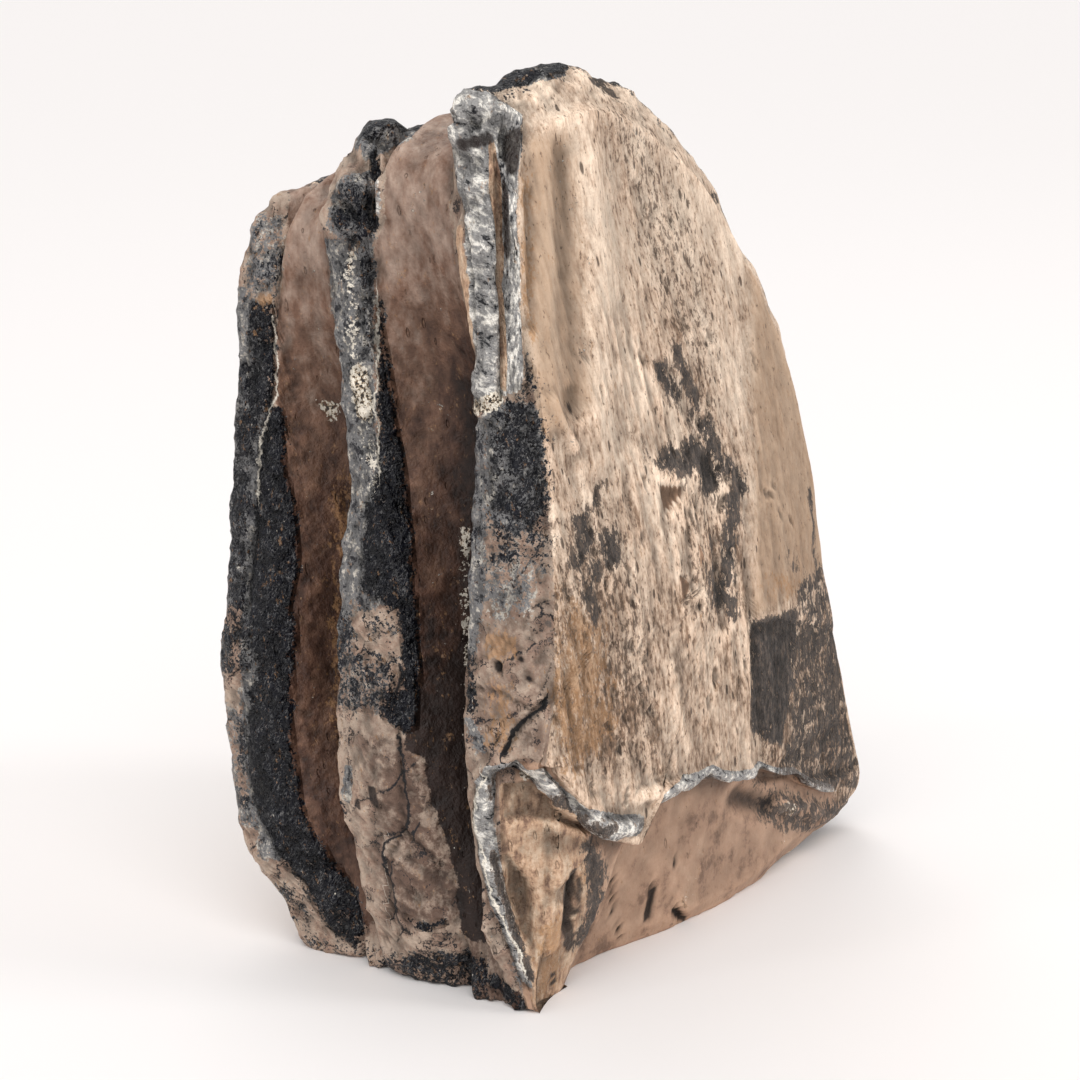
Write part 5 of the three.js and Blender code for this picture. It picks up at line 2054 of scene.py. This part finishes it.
@dataclass(frozen=True)
class FossilTooth:
    """The materials of the piece: tissues laid over each other, then stains, lines and painted shade in the
    hollows.
    """

    layers: tuple[Layer, ...] = (
        Layer("groove", GrooveCementum(), 0.8, 0.15),
        Layer("ridge_cementum", RidgeCementum(), 1.0, 0.08, 0.5),
        Layer("grey_enamel", GreyEnamel(), 1.9, 0.10, 1.4),
        Layer("black_enamel", BlackEnamel(), 1.9, 0.08, 1.6),
        Layer("recess", SmoothBreak(), 0.2),
        Layer("broken_enamel", BrokenEnamel(), 0.7, 0.05, 0.4),
        Layer("dentine", Dentine(), 0.35, 0.06, 0.2),
        Layer("crumbs", Crumbs(), 1.6, 0.06, 1.4),
    )
    stain_colours: tuple[Colour, ...] = ((0.020, 0.018, 0.018), (0.060, 0.052, 0.048), (0.15, 0.11, 0.085))
    stain_brown: Colour = (0.16, 0.115, 0.085)
    hollow_shade_colour: Colour = (0.022, 0.015, 0.013)
    pale_colour: Colour = (0.78, 0.72, 0.62)
    crack_colour: Colour = (0.016, 0.014, 0.015)
    rust_colour: Colour = (0.40, 0.222, 0.108)
    chip_colour: Colour = (0.34, 0.20, 0.125)
    line_width: float = 0.20
    lines: tuple[tuple[str, float], ...] = (
        ("pale_line_1", 0.5),
        ("pale_line_2", 0.5),
        ("pale_line_3", 0.4),
        ("dark_line_1", 0.9),
        ("dark_line_2", 1.4),
    )  # each thin line's half width over line_width

    def material(self, name: str, layers: tuple[Layer, ...], lined: bool) -> bpy.types.Material:
        """Builds a material.

        Args:
            name: Its name.
            layers: Tissues laid over the face cementum.
            lined: Whether it has the thin lines and the painted shade in the hollows.

        Returns:
            The material, for a mesh that keeps the masks at its vertices.
        """
        material = bpy.data.materials.new(name)
        material.use_nodes = True
        tree = material.node_tree
        graph = Graph(tree)
        shader = tree.nodes["Principled BSDF"]
        own = graph.add("TexCoord").outputs["Object"]
        place = graph.stretch(own, (MM, MM, MM))
        cloud = graph.noise(place, 0.40, 4, 0.72)
        specks = graph.noise(place, 2.2, 2, 0.7)
        wander = graph.centred(cloud)
        fine = graph.centred(specks)
        given = {"Place": place, "Up": graph.separate(place, "Z"), "Cloud": cloud, "Fine": specks}
        for mask in ("spongy", "smooth", "deep_groove", "standing"):
            given[mask.split("_")[0].title()] = graph.attribute(mask)
        crowd = graph.scaled(given["Spongy"], 0.5, 0.26)
        given["Crowd"] = graph.math("SUBTRACT", crowd, graph.times(given["Smooth"], 0.26))
        (given["Pore"],) = self._place(graph, Pores(), given)
        colour, roughness = self._place(graph, FaceCementum(), given)
        for layer in layers:
            over = self._place(graph, layer.finish, given)
            moved = graph.scaled(wander, layer.ragged, graph.attribute(layer.mask))
            moved = graph.scaled(fine, layer.speckle, moved)
            share = graph.range(moved, 0.5 - layer.soft, 0.5 + layer.soft)
            colour = graph.blend(share, colour, over[0])
            roughness = graph.blend_number(share, roughness, over[1])
        colour = self._stains(graph, place, wander, fine, colour)
        if lined:
            colour = self._lines(graph, wander, colour)
            # Painted shade in the hollows.
            hollow = graph.scaled(wander, 0.5, graph.attribute("hollow"))
            colour = graph.blend(graph.range(hollow, 0.3, 0.7, 0.0, 0.92), colour, opaque(self.hollow_shade_colour))
        # Painted shade in pits and painted light on crests, by how far each point stands out.
        shade = graph.range(graph.attribute("lift"), -1.0, 1.0, 0.35, 1.32)
        colour = graph.add("VectorMath", {0: colour, "Scale": shade}, operation="SCALE").outputs[0]
        relief = {"Place": place, "Pore": given["Pore"]}
        for socket in ("Fine", "Upright", "Lumps"):
            relief[socket] = graph.attribute(f"grain_{socket.lower()}")
        (height,) = self._place(graph, Grain(), relief)
        bump = graph.add("Bump", {"Strength": 1.0, "Distance": MM, "Height": height})
        graph.feed(shader.inputs["Base Color"], colour)
        graph.feed(shader.inputs["Roughness"], roughness)
        graph.feed(shader.inputs["Normal"], bump.outputs["Normal"])
        shader.inputs["Specular IOR Level"].default_value = 0.25
        return material

    @staticmethod
    def _place(graph: Graph, finish: Finish, given: dict) -> tuple[Socket, ...]:
        """Places a finish's group, feeds its inputs and returns its outputs.

        Args:
            graph: The tree of the material.
            finish: The look.
            given: Sockets by the names of the inputs.

        Returns:
            The group's outputs.
        """
        tree = bpy.data.node_groups.get(finish.name) or finish.group()
        node = graph.tree.nodes.new("ShaderNodeGroup")
        node.node_tree = tree
        for name in ("Place", *finish.inputs):
            graph.feed(node.inputs[name], given[name])
        return tuple(node.outputs[name] for name in finish.outputs)

    def _stains(self, graph: Graph, place: object, wander: object, fine: object, colour: object) -> Socket:
        """Rust, chips and black mineral stains: blotches broken up by streaks, with a brown fringe.

        Args:
            graph: The tree of the material.
            place: Coordinates, mm.
            wander: Slow noise that swings round 0.
            fine: Fine noise that swings round 0.
            colour: The colour under the stains.

        Returns:
            The colour with them.
        """
        streak = graph.streaks(place, (0.8, 0.8, 1.8), 3, 0.8, LEANING)
        grain = graph.centred(streak)
        rust = graph.scaled(wander, 1.4, graph.attribute("rusty"))
        rust = graph.scaled(grain, 3.4, graph.scaled(fine, 1.2, rust))
        colour = graph.blend(graph.range(rust, 0.4, 0.95, 0.0, 0.72), colour, opaque(self.rust_colour))
        chip = graph.scaled(wander, 0.3, graph.attribute("chipped"))
        colour = graph.blend(graph.range(chip, 0.4, 0.6, 0.0, 0.9), colour, opaque(self.chip_colour))
        moved = graph.scaled(grain, 2.4, graph.attribute("stain"))
        moved = graph.scaled(wander, 1.2, moved)
        dark = graph.ramp(streak, tuple(zip((0.40, 0.52, 0.66), self.stain_colours)))
        colour = graph.blend(graph.range(moved, 0.42, 0.66, 0.0, 0.75), colour, opaque(self.stain_brown))
        return graph.blend(graph.range(moved, 0.62, 0.74, 0.0, 0.93), colour, dark)

    def _lines(self, graph: Graph, wander: object, colour: object) -> Socket:
        """Thin lines: a pale one or a dark one where the signed distance from it is small.

        Args:
            graph: The tree of the material.
            wander: Slow noise that swings round 0.
            colour: The colour under the lines.

        Returns:
            The colour with them.
        """
        lined = graph.range(graph.attribute("lined"), 0.3, 0.6)
        for name, wide in self.lines:
            line = self.pale_colour if name.startswith("pale") else self.crack_colour
            width = self.line_width * wide
            off = graph.math("ABSOLUTE", graph.scaled(wander, 2.2, graph.attribute(name)))
            share = graph.times(graph.range(off, width + 0.12, width - 0.08), lined)
            colour = graph.blend(share, colour, opaque(line))
        return colour


# ---- The tooth ---------------------------------------------------------------------------------------


@dataclass
class Molar:
    """The whole piece: skin, relief, tissues and finish."""

    stack: PlateStack = field(default_factory=PlateStack)
    relief: Relief = field(default_factory=Relief)
    tissues: Tissues = field(default_factory=Tissues)
    finish: FossilTooth = field(default_factory=FossilTooth)
    seed: int = 7
    foot_dip: float = 0.9  # depth of the dips in the underside, mm
    plain_half: Pair = (38.0, 62.0)  # half sizes of the ellipse that the plain material keeps within, mm
    foot_middle: Pair = (4.0, 1.0)  # x and y that the underside is drawn in towards, mm
    face_grain: Triple = (0.30, 0.42, 0.35)  # strength of the fine, the upright and the lumpy grain, mm
    tissue_grain: tuple[tuple[str, Triple], ...] = (
        ("smooth", (0.14, 0.10, 0.20)),
        ("spongy", (0.55, 0.60, 0.80)),
        ("groove", (0.16, 0.05, 0.45)),
        ("ridge_cementum", (0.22, 0.05, 0.50)),
        ("grey_enamel", (0.35, 0.05, 0.75)),
        ("black_enamel", (0.50, 0.20, 2.30)),
        ("recess", (0.12, 0.05, 0.20)),
        ("broken_enamel", (0.45, 0.50, 0.80)),
        ("dentine", (0.24, 0.20, 0.75)),
    )

    def build(self) -> bpy.types.Object:
        """Makes the piece's mesh and dresses it.

        Returns:
            The piece, in metres, at the solid's place.
        """
        skin = self.stack.skin()
        noise = Roughness(self.seed)
        near = NearSide(skin)
        masks = self.tissues.masks(skin, near)
        height = self.relief.heights(skin, near, noise)
        points = skin.points + skin.normals() * height[..., None]
        points = self._stand(points, noise)
        points = self._fit(points)
        # for the painted shade and light of the relief
        masks["lift"] = self._lift(points)
        masks.update(self._grain(masks, near))
        piece = self._mesh("tooth", points, masks)
        piece.data.materials.append(self.finish.material("fossil_tooth", self.finish.layers, True))
        piece.data.materials.append(self.finish.material("fossil_tooth_face", (), False))
        self._choose_material(piece.data, skin, near)
        return piece

    def _choose_material(self, mesh: bpy.types.Mesh, skin: Skin, near: NearSide) -> None:
        """Gives the plain middles of the broad faces the material that has no other tissue.

        Args:
            mesh: The mesh, its squares in the order columns by rows.
            skin: The skin.
            near: Its places on the near side.
        """
        x, _, z = np.moveaxis(skin.points, -1, 0)
        half_x, half_z = self.plain_half
        way_out = np.hypot((x - self.stack.middle_x) / half_x, (z - self.stack.middle_z) / half_z)
        front = (skin.station < -0.30) & (skin.broken.max(axis=1, keepdims=True) < 0.5) & (way_out < 0.84)
        upper = (skin.station < -0.56) & (z > 34)
        plain = ((front | upper) & (near.across > 5.0)) | (skin.station > 2.5)
        squares = plain & np.roll(plain, -1, axis=0)
        squares = squares[:, 1:-2] & squares[:, 2:-1]
        fans = np.concatenate([plain[:, 0], plain[:, -1]])
        index = np.concatenate([squares.ravel(), fans]).astype(np.int32)
        mesh.polygons.foreach_set("material_index", index)

    def _grain(self, masks: Masks, near: NearSide) -> Masks:
        """Strength of the fine relief of each point, mm, by the tissue that covers it.

        Args:
            masks: The masks of the tissues.
            near: Its places on the near side.

        Returns:
            The strengths by name.
        """
        strengths = self.face_grain
        for name, values in self.tissue_grain:
            share = rise(masks[name], 0.35, 0.65)
            strengths = [mix(now, value, share) for now, value in zip(strengths, values)]
        names = ("grain_fine", "grain_upright", "grain_lumps")
        standing = rise(near.across, -4.9, -4.3) * rise(near.up, 70, 74)
        return {**dict(zip(names, strengths)), "standing": standing}

    @staticmethod
    def _lift(points: Array) -> Array:
        """How far each point stands out from the points round it, -1 in a pit to 1 on a crest. The material
        paints shade into the pits and light onto the crests from it.

        The mean of the points one, two and four steps away on all sides is taken from the point, along
        the normal, and divided by the steps' length.

        Args:
            points: The skin with its relief, mm.

        Returns:
            The number for each point.
        """
        normal = Skin(points, points[..., 0], points[..., 0]).normals()
        total = np.zeros(points.shape[:2])
        for step in (1, 2, 4):
            padded = np.pad(points, ((0, 0), (step, step), (0, 0)), mode="edge")
            ring = np.roll(points, step, axis=0) + np.roll(points, -step, axis=0)
            ring = ring + padded[:, 2 * step :] + padded[:, : -2 * step]
            spacing = np.linalg.norm(np.roll(points, step, axis=0) - points, axis=-1)
            total += np.sum((points - ring / 4) * normal, axis=-1) / np.maximum(spacing, 0.3)
        return np.tanh(total * 1.6)

    def _stand(self, points: Array, noise: Roughness) -> Array:
        """Flattens what lies under the floor: it is lifted to the floor and drawn in towards the middle.

        Args:
            points: The skin with its relief, mm.
            noise: The random swells.

        Returns:
            The skin, standing on z = 0 with shallow dips in its underside.
        """
        below = np.maximum(-points[..., 2], 0.0)
        middle = np.array(self.foot_middle)
        drawn = np.clip(1 - 0.05 * below, 0.7, 1.0)[..., None]
        plan = middle + (points[..., :2] - middle) * drawn
        dip = self.foot_dip * np.clip(noise.rough(points, 7.0, 3), 0, 1) * rise(below, 0.3, 1.5)
        return np.concatenate([plan, np.maximum(points[..., 2:], dip[..., None])], axis=-1)

    def _fit(self, points: Array) -> Array:
        """Draws the piece in, where the relief has pushed it out of the solid's box.

        Args:
            points: The standing skin, mm.

        Returns:
            The skin inside the box.
        """
        low, high = (np.array(corner) / MM for corner in CAD_BOX)
        low, high = low + (*self.stack.box_middle, 0.0), high + (*self.stack.box_middle, 0.0)
        found_low, found_high = points.min(axis=(0, 1)), points.max(axis=(0, 1))
        scale = np.minimum(1.0, (high - low) / (found_high - found_low))
        fitted = found_low + (points - found_low) * scale
        short = np.clip(low - fitted.min(axis=(0, 1)), 0, None)
        past = np.clip(fitted.max(axis=(0, 1)) - high, 0, None)
        return fitted + (short - past)

    def _mesh(self, name: str, points: Array, masks: Masks) -> bpy.types.Object:
        """Puts a grid of points into a closed mesh with a fan at each end.

        Args:
            name: The object's name.
            points: Columns by rows by x, y, z, in mm in the stack's frame.
            masks: Numbers to keep at the vertices, columns by rows.

        Returns:
            The object.
        """
        columns, rows = points.shape[:2]
        places = self._poled(points)
        places = (places - np.array([*self.stack.box_middle, 0.0])) * MM
        count = rows - 2
        first = (np.arange(columns) * count)[:, None]
        after = ((np.arange(columns) + 1) % columns * count)[:, None]
        row = np.arange(count - 1)[None, :]
        quads = np.stack([first + row, after + row, after + row + 1, first + row + 1], axis=-1).reshape(-1, 4)
        front, back = columns * count, columns * count + 1
        first, after = first[:, 0], after[:, 0]
        front_fan = np.stack([np.full(columns, front), after, first], axis=-1)
        back_fan = np.stack([np.full(columns, back), first + count - 1, after + count - 1], axis=-1)
        fans = np.concatenate([front_fan, back_fan])
        mesh = bpy.data.meshes.new(name)
        mesh.vertices.add(len(places))
        mesh.vertices.foreach_set("co", places.astype(np.float32).ravel())
        corners = np.concatenate([quads.ravel(), fans.ravel()]).astype(np.int32)
        starts = np.concatenate([np.arange(len(quads)) * 4, len(quads) * 4 + np.arange(len(fans)) * 3])
        mesh.loops.add(len(corners))
        mesh.loops.foreach_set("vertex_index", corners)
        mesh.polygons.add(len(starts))
        mesh.polygons.foreach_set("loop_start", starts.astype(np.int32))
        mesh.polygons.foreach_set("use_smooth", np.ones(len(starts), dtype=bool))
        mesh.update(calc_edges=True)
        mesh.validate()
        for mask_name, mask in masks.items():
            values = self._poled(np.broadcast_to(mask, points.shape[:2])[..., None])
            kept = mesh.attributes.new(mask_name, "FLOAT", "POINT")
            kept.data.foreach_set("value", values.astype(np.float32).ravel())
        piece = bpy.data.objects.new(name, mesh)
        bpy.context.collection.objects.link(piece)
        return piece

    @staticmethod
    def _poled(grid: Array) -> Array:
        """A grid's rows in one list, with the first and the last row each drawn into one mean value."""
        inner = grid[:, 1:-1].reshape(-1, grid.shape[-1])
        return np.concatenate([inner, grid[:, 0].mean(axis=0)[None], grid[:, -1].mean(axis=0)[None]])


def main() -> None:
    """Builds the studio and the tooth and reports each piece."""
    logging.basicConfig(level=logging.INFO, format="%(message)s")
    Studio().build()
    piece = Molar().build()
    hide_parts("molar")
    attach(piece, "root")
    triangles = sum(len(face.vertices) - 2 for face in piece.data.polygons)
    LOG.info("%s: %d vertices, %d triangles", piece.name, len(piece.data.vertices), triangles)


if __name__ == "__main__":
    main()
